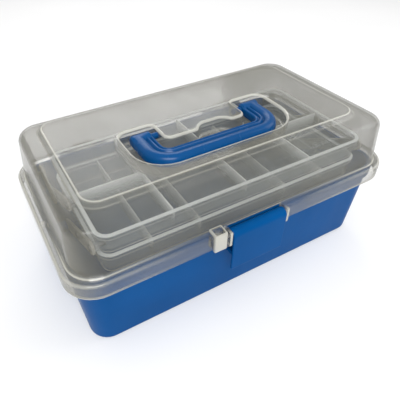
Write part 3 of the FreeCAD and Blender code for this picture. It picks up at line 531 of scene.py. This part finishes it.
def makeLid(s):
    bm = newMesh()
    lean = radians(s["draft"])
    panelRise = lidHigh.z - s["domeTop"]

    def skirtRing(out, z, paintedGlint=0.0):
        return ring(bm, roundedRect(s["halfX"] + out, s["halfY"] + out, s["corner"] + out, z), paintedGlint)

    def domeRing(out, z, paintedGlint=0.0):
        corner = s["domeCorner"] + out
        return ring(bm, roundedRect(s["domeHalfX"] + out, s["domeHalfY"] + out, corner, z), paintedGlint)

    def panelRing(out, z, paintedGlint=0.0):
        return ring(bm, roundedRect(s["panelHalfX"] + out, s["panelHalfY"] + out, s["panelCorner"] + out, z,
                                    s["panelY"]), paintedGlint)

    def recessRing(out, z, paintedGlint=0.0):
        return ring(bm, roundedLoop(s["recess"], out, z), paintedGlint)

    # One side of the sheet, from the skirt's foot to the panel; deep is how far it lies below the outside.
    def sheet(deep):
        shelf, domeTop = s["shelf"] - deep, s["domeTop"] - deep
        # Painted highlight lines run along the skirt's foot, the shelf's edge, the dome's foot and the
        # panel's border, weaker on the inner side.
        bright = 1.0 if deep == 0 else 0.4
        rings = [skirtRing(-deep - (0.4 if deep == 0 else 0.0), s["bottom"], s["footGlint"])]
        rings.append(skirtRing(-deep, s["bottom"] + 0.5, s["footGlint"] * bright))
        rings.append(skirtRing(-deep, s["bottom"] + 1.8))
        turn = max(3.0 - deep, 0.6)
        rings.append(skirtRing(-deep, shelf - turn - 0.6))
        for step in range(5):
            angle = radians(90 * step / 4)
            rings.append(skirtRing(-deep - turn * (1 - cos(angle)), shelf - turn * (1 - sin(angle)),
                                   s["shelfGlint"] * bright * sin(2 * angle)))
        wall = -deep / cos(lean)
        foot = 1.5 + deep
        for step in range(4):  # hollow fillet at the dome's foot
            angle = radians((90 - s["draft"]) * (1 - step / 3))
            out = wall + foot * sin(angle) * 0.9 - foot * 0.12 * (1 - sin(angle))
            paintedGlint = s["filletGlint"] if step in (1, 2) else 0.2
            rings.append(domeRing(out, shelf + foot * (1 - sin(angle)), bright * paintedGlint))
        rings.append(domeRing(wall - (deep + 4.0) * tan(lean), s["shelf"] + 4.0))
        turn = s["edge"] - deep
        centreZ = domeTop - turn
        centreOut = wall - (centreZ - s["shelf"]) * tan(lean) - turn / cos(lean)
        for step in range(11):  # big rounded edge
            angle = lean + (pi / 2 - lean) * step / 10
            rings.append(domeRing(centreOut + turn * cos(angle), centreZ + turn * sin(angle)))
        for out, rise, paintedGlint in s["border"]:
            rings.append(panelRing(out - deep * 0.35, domeTop + rise * panelRise / s["border"][-1][1],
                                   paintedGlint * bright))
        return loft(bm, rings)

    outer, inner = sheet(0.0), sheet(s["wall"])
    wells = []
    for deep in (0.0, s["wall"]):
        top, floor = lidHigh.z - deep, s["floor"] - deep
        # Painted highlight lines run along the well's brim and the fillet at its floor, weaker on the inner
        # side.
        bright = 1.0 if deep == 0 else 0.3
        brim, turn = s["brim"] - deep * 0.9, s["floorFillet"] + deep
        rings = [recessRing(deep + brim + 1.0, top)]
        for step in range(6):  # rounded brim, then the wall, then the hollow fillet at its foot
            angle = radians(18 * step)
            rings.append(recessRing(deep + brim * (1 - sin(angle)), top - brim * (1 - cos(angle)),
                                    bright * (s["brimGlint"] if 0 < step < 5 else 0.3)))
        rings.append(recessRing(deep - s["recessDraft"] * 0.2, top - brim - 1.0))
        for step in range(6):
            angle = radians(18 * step)
            rings.append(recessRing(deep - s["recessDraft"] - turn * (1 - cos(angle)),
                                    floor + turn * (1 - sin(angle)),
                                    bright * (s["wellGlint"] if 0 < step < 5 else 0.1)))
        rings.append(recessRing(deep - s["recessDraft"] - turn - 0.8, floor))
        loft(bm, rings)
        wells.append(rings)
    fill(bm, outer[-1], wells[0][0])
    fill(bm, wells[0][-1])
    fill(bm, inner[-1], wells[1][0])
    fill(bm, wells[1][-1])
    loft(bm, [outer[0], inner[0]])
    piece = makePiece("lidShell", bm)

    gaps = newMesh()
    block(gaps, (-s["earIn"], -s["domeHalfY"] - 20, s["bottom"] - 2),
          (s["earIn"], -s["domeHalfY"] + 0.2, s["shelf"] + 0.6), 0)
    block(gaps, (-s["halfX"] - 2, s["domeHalfY"] - 3.75, s["bottom"] - 2),
          (s["halfX"] + 2, s["halfY"] + 5, s["rearLow"]), 0)
    extra = newMesh()
    for side in sides:
        near, far = span(side, s["earIn"], s["earOut"])
        block(extra, (near, s["earFront"], s["bottom"]), (far, s["earBack"], s["shelf"]), 0.7)
        middle = side * s["hingeMiddle"]
        rod(extra, middle - s["knuckleHalf"], middle + s["knuckleHalf"], hinge, s["knuckle"])
        near, far = span(side, s["tabX"], s["tabOut"])
        block(extra, (near, s["tabY"] - s["tabHalf"], s["shelf"] - 1.2),
              (far, s["tabY"] + s["tabHalf"], s["tabTop"]), 0.8)
        near, far = span(side, s["bracketX"], s["bracketX"] + 3)
        block(extra, (near, lidPin[0] - s["bracketHalf"], lidPin[1] - s["bracketHalf"]),
              (far, lidPin[0] + s["bracketHalf"], s["shelf"] + 8), 0.6)
        near, far = span(side, s["bracketX"] + 1, s["domeHalfX"] - 2)
        block(extra, (near, lidPin[0] - s["bracketHalf"] + 1, s["shelf"] + 2),
              (far, lidPin[0] + s["bracketHalf"] - 1, s["shelf"] + 6), 0.4)
    webs = newMesh()
    for side in sides:
        middle = side * s["hingeMiddle"]
        block(webs, (middle - s["knuckleHalf"] + 0.3, hinge[0] - 3, hinge[1] + 2.5),
              (middle + s["knuckleHalf"] - 0.3, hinge[0] + 3, s["shelf"] - 0.3), 0.4)
    eye = newMesh()
    block(eye, (s["eyeX"] - s["eyeHalf"], s["eyeFront"], s["bottom"]),
          (s["eyeX"] + s["eyeHalf"], -s["domeHalfY"] + 0.6, s["eyeTop"]), 1.0, 2)
    eyeBridge = newMesh()
    block(eyeBridge, (s["eyeX"] + s["eyeHalf"] - 1.5, s["eyeFront"] + 0.6, s["bottom"] + 0.3),
          (-s["earIn"] - 0.2, -s["halfY"] + 1.2, s["shelf"] - 0.4), 0.7)
    eyeHollow = newMesh()
    block(eyeHollow, (s["eyeX"] - s["eyeHalf"] + 1, s["eyeFront"] + 1, s["bottom"] - 2),
          (s["eyeX"] + s["eyeHalf"] - 1, s["eyeBack"], s["eyeRoof"]), 0.0)
    rod(eyeHollow, s["eyeRoof"] - 0.7, s["eyeTop"] + 3, (s["eyeX"], s["eyeY"]), s["eyeHole"], "z", 0.0)
    stubs = newMesh()
    for side in sides:
        near, far = span(side, s["tongueHalf"] - 3.5, s["tongueHalf"] + 2)
        rod(stubs, near, far, handlePivot, s["stub"], "x", 0.0, 24)
    carve(piece, [("DIFFERENCE", gaps), ("UNION", extra), ("UNION", webs), ("UNION", eye),
                  ("UNION", eyeBridge), ("DIFFERENCE", eyeHollow), ("DIFFERENCE", stubs)])
    dress(piece, clearLid, "lid", "lid", "lid")


makeLid(lid)
print("lid made")

# The handle is a grooved section swept along a U.
handleLow, handleHigh = nodeBox("handle")
grip = {"halfX": handleHigh.x, "front": handleLow.y, "width": 20.0, "base": handleLow.z,
        "height": handleHigh.z - handleLow.z, "cornerRadius": 17.0, "cornerSteps": 14, "stub": 3.0,
        "stubReach": 40.0,
        # across from the outer side and up, for a section 20.5 wide and 12.4 high
        "section": [(3.0, 0.0), (1.2, 0.6), (0.3, 2.0), (0.0, 4.2), (0.25, 6.6), (1.0, 8.9), (2.3, 10.8),
                    (4.0, 12.0), (6.0, 12.4), (8.2, 12.2), (10.0, 11.5), (11.3, 10.3), (11.9, 8.9),
                    (12.5, 8.5), (13.1, 8.9), (13.6, 10.1), (14.4, 10.8), (15.4, 10.7), (16.0, 9.8),
                    (16.3, 8.3), (16.9, 7.9), (17.5, 8.3), (17.9, 9.4), (18.6, 9.9), (19.6, 9.7),
                    (20.3, 8.8), (20.5, 7.4), (20.4, 3.0), (20.0, 1.2), (18.6, 0.2), (17.0, 0.0)]}


def newTree(name, inputs):
    tree = bpy.data.node_groups.new(name, "GeometryNodeTree")
    sockets = {}
    tree.interface.new_socket("Geometry", in_out="INPUT", socket_type="NodeSocketGeometry")
    for label, kind, value in inputs:
        socket = tree.interface.new_socket(label, in_out="INPUT", socket_type=kind)
        if value is not None:
            socket.default_value = value
        sockets[label] = socket
    tree.interface.new_socket("Geometry", in_out="OUTPUT", socket_type="NodeSocketGeometry")
    return tree, sockets, tree.nodes.new("NodeGroupInput"), tree.nodes.new("NodeGroupOutput")


# Makes the geometry real, paints it and sends it out.
def closeTree(tree, given, out, geometry):
    realize = tree.nodes.new("GeometryNodeRealizeInstances")
    paint = tree.nodes.new("GeometryNodeSetMaterial")
    tree.links.new(geometry, realize.inputs["Geometry"])
    tree.links.new(realize.outputs["Geometry"], paint.inputs["Geometry"])
    tree.links.new(given.outputs["Material"], paint.inputs["Material"])
    tree.links.new(paint.outputs["Geometry"], out.inputs["Geometry"])


def growOn(piece, tree, sockets, values):
    modifier = piece.modifiers.new(tree.name, "NODES")
    modifier.node_group = tree
    for label, value in values.items():
        modifier[sockets[label].identifier] = value
    return settle(piece)


def newCurve(name, points, cyclic):
    curve = bpy.data.curves.new(name, "CURVE")
    curve.dimensions = "3D"
    spline = curve.splines.new("POLY")
    spline.points.add(len(points) - 1)
    for point, place in zip(spline.points, points):
        point.co = (*(Vector(place) * mm), 1.0)
    spline.use_cyclic_u = cyclic
    return addObject(name, curve)


def makeSweepTree():
    tree, sockets, given, out = newTree("gripSweep", [
        ("Section", "NodeSocketObject", None), ("Corner Radius", "NodeSocketFloat", 0.01),
        ("Corner Steps", "NodeSocketInt", 8), ("Material", "NodeSocketMaterial", None)])
    link = tree.links.new
    fillet = tree.nodes.new("GeometryNodeFilletCurve")
    fillet.mode = "POLY"
    fillet.inputs["Limit Radius"].default_value = True
    section = tree.nodes.new("GeometryNodeObjectInfo")
    upright = tree.nodes.new("GeometryNodeSetCurveNormal")
    upright.mode = "Z_UP"
    sweep = tree.nodes.new("GeometryNodeCurveToMesh")
    sweep.inputs["Fill Caps"].default_value = True
    link(given.outputs["Geometry"], fillet.inputs["Curve"])
    link(given.outputs["Corner Radius"], fillet.inputs["Radius"])
    link(given.outputs["Corner Steps"], fillet.inputs["Count"])
    link(fillet.outputs["Curve"], upright.inputs["Curve"])
    link(upright.outputs["Curve"], sweep.inputs["Curve"])
    link(given.outputs["Section"], section.inputs["Object"])
    link(section.outputs["Geometry"], sweep.inputs["Profile Curve"])
    closeTree(tree, given, out, sweep.outputs["Mesh"])
    return tree, sockets


def makeHandle(s):
    half = s["width"] / 2
    wide = s["width"] / max(across for across, _ in s["section"])
    tall = s["height"] / max(up for _, up in s["section"])
    outline = [(half - across * wide, -up * tall, 0) for across, up in s["section"]]
    section = newCurve("gripSection", outline, True)
    middleX, middleY = s["halfX"] - half, s["front"] + half
    path = newCurve("grip", [(-middleX, handlePivot[0], s["base"]), (-middleX, middleY, s["base"]),
                             (middleX, middleY, s["base"]), (middleX, handlePivot[0], s["base"])], False)
    tree, sockets = makeSweepTree()
    piece = growOn(path, tree, sockets, {"Section": section, "Corner Radius": s["cornerRadius"] * mm,
                                         "Corner Steps": s["cornerSteps"], "Material": handleBlue})
    bpy.data.objects.remove(section)
    bm = bmesh.new()
    bm.from_mesh(piece.data)
    bmesh.ops.remove_doubles(bm, verts=bm.verts, dist=0.001 * mm)
    faceOut(bm)
    bm.to_mesh(piece.data)
    bm.free()
    ends = bmesh.new()
    for side in sides:
        near, far = span(side, s["halfX"] - s["width"] + 0.3, s["halfX"] - 0.3)
        rod(ends, near, far, handlePivot, s["height"] / 2, "x", 1.6, 40)
    stubs = bmesh.new()
    for side in sides:
        near, far = span(side, s["stubReach"], s["halfX"] - s["width"] + 3)
        rod(stubs, near, far, handlePivot, s["stub"], "x", 0.4, 28)
    carve(piece, [("UNION", ends), ("UNION", stubs)], 42)
    dress(piece, handleBlue, "handle", "handle", "handle")


makeHandle(grip)
print("handle made")


latch = {"halfX": 27.7, "radius": 5.8, "thick": 2.6, "bottom": 47.0, "hookHalf": 19.4, "hookLow": 50.0,
         "hookHigh": 53.0, "hookY": -92.4, "ribDeep": 2.4, "ribWide": 2.0, "edge": 0.9, "bore": 1.55}


def makeLatch(s):
    front, back = latchPin[0] - s["radius"], latchPin[0] - s["radius"] + s["thick"]
    outline = [(back, s["bottom"] + 0.5), (back - 0.4, s["bottom"] + 0.1), (front + 0.6, s["bottom"]),
               (front + 0.1, s["bottom"] + 0.5), (front, s["bottom"] + 1.2), (front, s["bottom"] + 14),
               (front, latchPin[1] - 8)]
    for step in range(17):  # over the barrel, round to where the plate's back meets it
        angle = radians(180 - 15.0 * step)
        outline.append((latchPin[0] + s["radius"] * cos(angle), latchPin[1] + s["radius"] * sin(angle)))
    outline.append((back, latchPin[1] - s["radius"] - 1.5))
    middleY = sum(y for y, _ in outline) / len(outline)
    bm = bmesh.new()
    rings = []
    for x, inset in ((-s["halfX"], s["edge"]), (-s["halfX"] + s["edge"] * 0.3, s["edge"] * 0.35),
                     (-s["halfX"] + s["edge"], 0.0), (s["halfX"] - s["edge"], 0.0),
                     (s["halfX"] - s["edge"] * 0.3, s["edge"] * 0.35), (s["halfX"], s["edge"])):
        points = []
        for number, (y, z) in enumerate(outline):
            beforeY, beforeZ = outline[number - 1]
            afterY, afterZ = outline[(number + 1) % len(outline)]
            tangentY, tangentZ = afterY - beforeY, afterZ - beforeZ
            length = hypot(tangentY, tangentZ)
            points.append((x, y + tangentZ / length * inset, z - tangentY / length * inset))
        rings.append(ring(bm, points))
    loft(bm, rings)
    fill(bm, rings[0])
    fill(bm, rings[-1])
    piece = makePiece("clasp", bm)
    extra = bmesh.new()
    block(extra, (-s["hookHalf"], back - 0.8, s["hookLow"]), (s["hookHalf"], s["hookY"], s["hookHigh"]), 0.5)
    for side in sides:
        near, far = span(side, s["halfX"] - s["ribWide"] - 0.4, s["halfX"] - 0.4)
        block(extra, (near, back - 0.8, s["bottom"] + 1.5), (far, back + s["ribDeep"], latchPin[1] - 4), 0.5)
    bore = bmesh.new()
    rod(bore, -s["halfX"] - 1, s["halfX"] + 1, latchPin, s["bore"], "x", 0.0, 20)
    carve(piece, [("UNION", extra), ("DIFFERENCE", bore)])
    dress(piece, tubBlue, "latch", "latch", "latch")


makeLatch(latch)
print("latch made")


trays = {"halfX": 134.0, "draft": 2.5, "wall": 1.8, "floor": 1.8, "lip": 1.5, "band": 5.0, "corner": 12.0,
         "foot": 1.5, "bossIn": 127.4, "boss": 4.0, "gap": 0.3}
dividers = {"thick": 1.6, "taper": 0.3, "drop": 1.5, "sunk": 0.4, "soft": 0.35, "rowY": -16.0,
            "upperColumn": 70.0, "lowerColumns": [45.0, 90.0]}


def makeTray(name, node, row, s):
    low, high = nodeBox(node)
    halfY = (high.y - low.y) / 2
    halfX = s["halfX"]
    middle = (high.y + low.y) / 2
    bottom, top = low.z, high.z
    lean = tan(radians(s["draft"]))
    bm = newMesh()

    def wallRing(z, inset=0.0, paintedGlint=0.0):
        out = (z - top) * lean - s["lip"] - inset
        corner = max(s["corner"] + out, 1.0)
        return ring(bm, roundedRect(halfX + out, halfY + out, corner, z, middle, 7), paintedGlint)

    def bandRing(z, out, paintedGlint=0.0):
        return ring(bm, roundedRect(halfX + out, halfY + out, s["corner"] + out, z, middle, 7), paintedGlint)

    # Painted highlight lines run along the foot, the band's step and the rim, inside and out.
    rings = [wallRing(bottom, s["foot"] + 1.0)]
    for step in range(4):
        angle = radians(30 * step)
        rings.append(wallRing(bottom + s["foot"] * (1 - cos(angle)), s["foot"] * (1 - sin(angle)), 0.5))
    rings += [wallRing(bottom + s["foot"] + 1.0), wallRing(top - s["band"] - 1.2),
              wallRing(top - s["band"] - 0.3, 0.0, 0.5)]
    rings += [bandRing(top - s["band"], -1.0, 0.5), bandRing(top - s["band"] + 0.4, -0.2, 0.6),
              bandRing(top - s["band"] + 0.8, 0.0, 0.3), bandRing(top - s["band"] + 1.4, 0.0),
              bandRing(top - 1.5, 0.0, 0.1), bandRing(top - 0.7, 0.0, 0.8), bandRing(top - 0.2, -0.2, 1.0),
              bandRing(top, -0.7, 1.0)]
    rings += [wallRing(top, s["wall"] - 0.5, 1.0), wallRing(top - 0.5, s["wall"], 0.8),
              wallRing(top - 1.6, s["wall"])]
    for step in range(4):
        angle = radians(30 * step)
        rings.append(wallRing(bottom + s["floor"] + s["foot"] * (1 - sin(angle)),
                              s["wall"] + s["foot"] * (1 - cos(angle)), 0.2))
    rings.append(wallRing(bottom + s["floor"], s["wall"] + s["foot"] + 1.0))
    loft(bm, rings)
    fill(bm, rings[0])
    fill(bm, rings[-1])
    piece = makePiece(name, bm)
    bosses = bmesh.new()
    for side in sides:
        for arm in pivots.values():
            near, far = span(side, s["bossIn"], nodeBox("rear_arm_right")[0].x - s["gap"])
            rod(bosses, near, far, arm[row], s["boss"], "x", 0.4, 24)
    carve(piece, [("UNION", bosses)])
    dress(piece, clearTray, "tray", node, node)
    return bottom + s["floor"], top, halfX - s["lip"] - s["wall"], halfY - s["lip"] - s["wall"], middle


# Thin walls that lean in a little to the top, one on each point, as long as the point's own length.
def makeWallTree():
    tree, sockets, given, out = newTree("wallField", [
        ("Thickness", "NodeSocketFloat", 0.0016), ("Height", "NodeSocketFloat", 0.015),
        ("Taper", "NodeSocketFloat", 0.3), ("Material", "NodeSocketMaterial", None)])
    link = tree.links.new
    cube = tree.nodes.new("GeometryNodeMeshCube")
    link(addVector(tree, 1.0, given.outputs["Thickness"], given.outputs["Height"]), cube.inputs["Size"])
    where = tree.nodes.new("GeometryNodeInputPosition")
    split = tree.nodes.new("ShaderNodeSeparateXYZ")
    link(where.outputs[0], split.inputs[0])
    ratio = addMaths(tree, "DIVIDE", split.outputs["Z"], given.outputs["Height"])
    keep = addMaths(tree, "SUBTRACT", 1.0, addMaths(tree, "MULTIPLY", ratio, given.outputs["Taper"]))
    thinner = addMaths(tree, "MULTIPLY", split.outputs["Y"], keep)
    lean = tree.nodes.new("GeometryNodeSetPosition")
    link(cube.outputs["Mesh"], lean.inputs["Geometry"])
    link(addVector(tree, split.outputs["X"], thinner, split.outputs["Z"]), lean.inputs["Position"])
    # A painted highlight at each wall's top, fading to none at its foot.
    paintedGlint = tree.nodes.new("GeometryNodeStoreNamedAttribute")
    paintedGlint.data_type = "FLOAT"
    paintedGlint.inputs["Name"].default_value = "edge"
    link(lean.outputs["Geometry"], paintedGlint.inputs["Geometry"])
    link(addMaths(tree, "GREATER_THAN", split.outputs["Z"], 0.0), paintedGlint.inputs["Value"])
    length = tree.nodes.new("GeometryNodeInputNamedAttribute")
    length.inputs["Name"].default_value = "length"
    turn = tree.nodes.new("GeometryNodeInputNamedAttribute")
    turn.inputs["Name"].default_value = "turn"
    spread = tree.nodes.new("GeometryNodeInstanceOnPoints")
    link(given.outputs["Geometry"], spread.inputs["Points"])
    link(paintedGlint.outputs["Geometry"], spread.inputs["Instance"])
    link(addVector(tree, 0.0, 0.0, turn.outputs["Attribute"]), spread.inputs["Rotation"])
    link(addVector(tree, length.outputs["Attribute"], 1.0, 1.0), spread.inputs["Scale"])
    closeTree(tree, given, out, spread.outputs["Instances"])
    return tree, sockets


def pointPiece(name, points, **attributes):
    mesh = bpy.data.meshes.new(name)
    mesh.from_pydata([Vector(p) * mm for p in points], [], [])
    for label, values in attributes.items():
        mesh.attributes.new(label, "FLOAT", "POINT").data.foreach_set("value", values)
    return addObject(name, mesh)


wallTree = makeWallTree()


def makeDividers(name, body, inside, walls, s):
    floor, top, halfX, halfY, middle = inside
    height = top - s["drop"] - floor + s["sunk"]
    z = floor - s["sunk"] + height / 2
    points, lengths, turns = [], [], []
    for x in walls["columns"]:
        points.append((x, middle, z))
        lengths.append((2 * halfY - 0.2) * mm)
        turns.append(pi / 2)
    for start, stop in walls["rows"]:
        points.append(((start + stop) / 2, s["rowY"], z))
        lengths.append((stop - start) * mm)
        turns.append(0.0)
    piece = pointPiece(name, points, length=lengths, turn=turns)
    tree, sockets = wallTree
    growOn(piece, tree, sockets, {"Thickness": s["thick"] * mm, "Height": height * mm,
                                  "Taper": s["taper"], "Material": clearTray})
    bevel = piece.modifiers.new("soften", "BEVEL")
    bevel.width = s["soft"] * mm
    bevel.segments = 2
    settle(piece)
    shade(piece, 38)
    dress(piece, clearTray, "tray", body)


insideUpper = makeTray("upperTray", "upper_tray", 2, trays)
insideLower = makeTray("lowerTray", "lower_tray", 1, trays)
column, reach = dividers["upperColumn"], insideUpper[2] - 0.3
makeDividers("upperDividers", "upper_tray", insideUpper,
             {"columns": [-column, 0.0, column], "rows": [(-reach, -column), (column, reach)]}, dividers)
lowerColumns = [side * x for side in sides for x in dividers["lowerColumns"]]
makeDividers("lowerDividers", "lower_tray", insideLower, {"columns": lowerColumns, "rows": []}, dividers)
print("trays made")

# Arms and links are flat bars with round ends and a raised border round a shallow channel.
bars = {"arm": 6.0, "linkArmEnd": 6.0, "linkLidEnd": 7.5, "border": 1.5, "channel": 0.5, "pad": 4.2,
        "linkHole": 4.35}


# The outline round two circles joined by their outer tangents.
def barLoop(start, end, startRadius, endRadius, inset, x, steps=14):
    length = hypot(end[0] - start[0], end[1] - start[1])
    along = atan2(end[1] - start[1], end[0] - start[0])
    tilt = acos((startRadius - endRadius) / length)
    points = []
    for centre, radius, first, last in ((end, endRadius - inset, -tilt, tilt),
                                        (start, startRadius - inset, tilt, 2 * pi - tilt)):
        for step in range(steps + 1):
            angle = along + first + (last - first) * step / steps
            points.append((x, centre[0] + radius * cos(angle), centre[1] + radius * sin(angle)))
    return points


# The pads stand at the pivots; wide is the radius of a loose hole at the bar's end.
def makeBar(name, node, body, start, end, startRadius, endRadius, s, padPlaces, wide=None):
    low, high = nodeBox(node)
    bm = bmesh.new()
    near, far = low.x, high.x
    levels = [(near + s["channel"], s["border"] + 0.3), (near, s["border"]), (near, 0.4), (near + 0.4, 0.0),
              (far - 0.4, 0.0), (far, 0.4), (far, s["border"]), (far - s["channel"], s["border"] + 0.3)]
    rings = [ring(bm, barLoop(start, end, startRadius, endRadius, inset, x)) for x, inset in levels]
    loft(bm, rings)
    fill(bm, rings[0])
    fill(bm, rings[-1])
    piece = makePiece(name, bm)
    pads = bmesh.new()
    for place in padPlaces:
        rod(pads, near + 0.05, far - 0.05, place, s["pad"], "x", 0.2, 24)
    steps = [("UNION", pads)]
    if wide:
        hole = bmesh.new()
        rod(hole, near - 1, far + 1, end, wide, "x", 0.0, 32)
        steps.append(("DIFFERENCE", hole))
    carve(piece, steps)
    dress(piece, milkyArm, "arm", body, node)


for label in ("left", "right"):
    for arm in ("rear", "front"):
        makeBar(f"{arm}Arm_{label}", f"{arm}_arm_{label}", f"{arm}_arms", pivots[arm][0], pivots[arm][-1],
                bars["arm"], bars["arm"], bars, pivots[arm])
    makeBar(f"lidLink_{label}", f"lid_link_{label}", "lid_links", linkFoot, lidPin, bars["linkArmEnd"],
            bars["linkLidEnd"], bars, [linkFoot], bars["linkHole"])
print("arms made")


rivets = {"shaft": 1.6, "head": 3.2, "tail": 2.6, "lidHead": 5.8, "headThick": 0.9, "dome": 0.62}


def makeRivetTree():
    tree, sockets, given, out = newTree("rivetField", [
        ("Shaft Radius", "NodeSocketFloat", 0.0016), ("Head Radius", "NodeSocketFloat", 0.0032),
        ("Tail Radius", "NodeSocketFloat", 0.0026), ("Head Thickness", "NodeSocketFloat", 0.0009),
        ("Dome", "NodeSocketFloat", 0.6), ("Length", "NodeSocketFloat", 0.012),
        ("Material", "NodeSocketMaterial", None)])
    link = tree.links.new

    def lifted(geometry, height):
        move = tree.nodes.new("GeometryNodeTransform")
        link(geometry, move.inputs["Geometry"])
        link(addVector(tree, 0.0, 0.0, height), move.inputs["Translation"])
        return move.outputs["Geometry"]

    def cone(top, bottom, depth, height):
        node = tree.nodes.new("GeometryNodeMeshCone")
        node.inputs["Vertices"].default_value = 24
        for label, value in (("Radius Top", top), ("Radius Bottom", bottom), ("Depth", depth)):
            link(value, node.inputs[label])
        return lifted(node.outputs["Mesh"], height) if height else node.outputs["Mesh"]

    thick, length = given.outputs["Head Thickness"], given.outputs["Length"]
    head, tail, shaft = (given.outputs[label] for label in ("Head Radius", "Tail Radius", "Shaft Radius"))
    half = addMaths(tree, "MULTIPLY", thick, 0.5)
    crown = addMaths(tree, "MULTIPLY", head, given.outputs["Dome"])
    tailEnd = addMaths(tree, "MULTIPLY", tail, given.outputs["Dome"])
    low = addMaths(tree, "SUBTRACT", length, thick)
    parts = [cone(head, head, half, low), cone(crown, head, half, addMaths(tree, "ADD", low, half)),
             cone(tail, tailEnd, thick, None),
             cone(shaft, shaft, addMaths(tree, "SUBTRACT", low, half), half)]
    bundle = tree.nodes.new("GeometryNodeJoinGeometry")
    for part in parts:
        link(part, bundle.inputs["Geometry"])
    side = tree.nodes.new("GeometryNodeInputNamedAttribute")
    side.inputs["Name"].default_value = "side"
    outwards = addMaths(tree, "MULTIPLY", side.outputs["Attribute"], pi / 2)
    spread = tree.nodes.new("GeometryNodeInstanceOnPoints")
    link(given.outputs["Geometry"], spread.inputs["Points"])
    link(bundle.outputs["Geometry"], spread.inputs["Instance"])
    link(addVector(tree, 0.0, outwards, 0.0), spread.inputs["Rotation"])
    closeTree(tree, given, out, spread.outputs["Instances"])
    return tree, sockets


rivetTree = makeRivetTree()


# A rivet on each side at every place; the head is outwards unless it is turned in.
def makeRivets(name, node, body, places, near, headRadius, tailRadius, s, inwards=False):
    far = nodeBox(node)[1].x
    points, ways = [], []
    for side in sides:
        for y, z in places:
            points.append((side * (far if inwards else near), y, z))
            ways.append(-side if inwards else side)
    piece = pointPiece(name, points, side=[float(way) for way in ways])
    tree, sockets = rivetTree
    growOn(piece, tree, sockets, {"Shaft Radius": s["shaft"] * mm, "Head Radius": headRadius * mm,
                                  "Tail Radius": tailRadius * mm, "Head Thickness": s["headThick"] * mm,
                                  "Dome": s["dome"], "Length": (far - near) * mm, "Material": dullRivet})
    shade(piece, 40)
    dress(piece, dullRivet, "rivet", body, node)


# The smallest distance of a node's points from the box's middle plane.
def innerEnd(node):
    return min(abs(v.co.x) for v in frame["nodes"][node].data.vertices) / mm


for level, node, body in ((1, "lower_tray_rivets", "lower_tray"), (2, "upper_tray_rivets", "upper_tray")):
    makeRivets(node.title().replace("_", ""), node, body, [pivots["rear"][level], pivots["front"][level]],
               innerEnd(node), rivets["head"], rivets["tail"], rivets)
makeRivets("TubRivets", "tub_rivets", "base", [feet["rear"], feet["front"]], innerEnd("tub_rivets"),
           rivets["head"], rivets["shaft"], rivets, True)
makeRivets("LinkRivets", "link_rivets", "rear_arms", [linkFoot], innerEnd("link_rivets"), rivets["head"],
           rivets["tail"], rivets)
makeRivets("LidRivets", "lid_rivets", "lid", [lidPin], innerEnd("lid_rivets"), rivets["lidHead"],
           rivets["shaft"], rivets, True)
for node in ("hinge_pin_left", "hinge_pin_right", "latch_pin"):
    mesh = frame["nodes"][node].data
    mesh.materials.clear()
    mesh.materials.append(brightPin)
print("rivets and pins made")


# Metres and watts; a lamp has its name, place, aim, size and power.
studio = {"floor": 20.0, "floorDeep": (0.86, 0.86, 0.86), "floorLight": (0.89, 0.89, 0.89), "sky": 0.60,
          "lamps": [("keyLamp", (-0.5, -0.9, 1.1), (0, 0, 0.08), (0.9, 0.5), 16.0),
                    ("fillLamp", (1.1, -0.3, 0.8), (0, 0, 0.08), (0.8, 0.8), 4.0),
                    ("rimLamp", (0.2, 1.1, 0.9), (0, 0, 0.1), (1.2, 0.4), 5.0)]}


def makeFloor(s):
    bm = bmesh.new()
    bmesh.ops.create_grid(bm, x_segments=1, y_segments=1, size=s["floor"] / 2)
    mesh = bpy.data.meshes.new("floor")
    bm.to_mesh(mesh)
    bm.free()
    floor = addObject("floor", mesh)
    material, tree, surface, place = newMaterial("paleFloor")
    cloud = blendColour(tree, addNoise(tree, place, 3, 3), s["floorDeep"], s["floorLight"])
    tree.links.new(cloud, surface.inputs["Base Color"])
    surface.inputs["Roughness"].default_value = 0.9
    floor.data.materials.append(material)


def makeLamp(name, place, target, size, power):
    lamp = bpy.data.lights.new(name, "AREA")
    lamp.shape = "RECTANGLE"
    lamp.size, lamp.size_y = size
    lamp.energy = power
    holder = addObject(name, lamp)
    holder.location = place
    holder.rotation_euler = (Vector(target) - Vector(place)).to_track_quat("-Z", "Y").to_euler()


def makeSky(strength):
    world = bpy.data.worlds.new("studio")
    bpy.context.scene.world = world
    world.use_nodes = True
    background = world.node_tree.nodes["Background"]
    background.inputs["Color"].default_value = (1.0, 1.0, 1.0, 1)
    background.inputs["Strength"].default_value = strength


# Metres, degrees and millimetres of lens.
camera = {"place": (-0.1799, -0.2804, 0.3308), "azimuth": -27.65, "elevation": 39.54, "roll": 1.64,
          "lens": 36.74, "shiftX": 0.0711, "shiftY": -0.0249}


def makeCamera(s):
    azimuth, elevation, roll = (radians(s[key]) for key in ("azimuth", "elevation", "roll"))
    right = Vector((cos(azimuth), sin(azimuth), 0))
    back = Vector((sin(azimuth) * cos(elevation), -cos(azimuth) * cos(elevation), sin(elevation)))
    up = back.cross(right)
    rolledRight = cos(roll) * right - sin(roll) * up
    rolledUp = sin(roll) * right + cos(roll) * up
    data = bpy.data.cameras.new("camera")
    data.sensor_width = 36.0
    data.lens = s["lens"]
    data.shift_x, data.shift_y = s["shiftX"], s["shiftY"]
    data.clip_start, data.clip_end = 0.01, 50.0
    holder = addObject("camera", data)
    turn = Matrix((rolledRight, rolledUp, back)).transposed().to_4x4()
    holder.matrix_world = Matrix.Translation(s["place"]) @ turn
    bpy.context.scene.camera = holder


makeFloor(studio)
makeSky(studio["sky"])
for lamp in studio["lamps"]:
    makeLamp(*lamp)
makeCamera(camera)
bpy.context.scene.view_settings.view_transform = "Standard"
bpy.context.scene.cycles.transparent_max_bounces = 24  # the clear walls lie many deep
print("studio made")
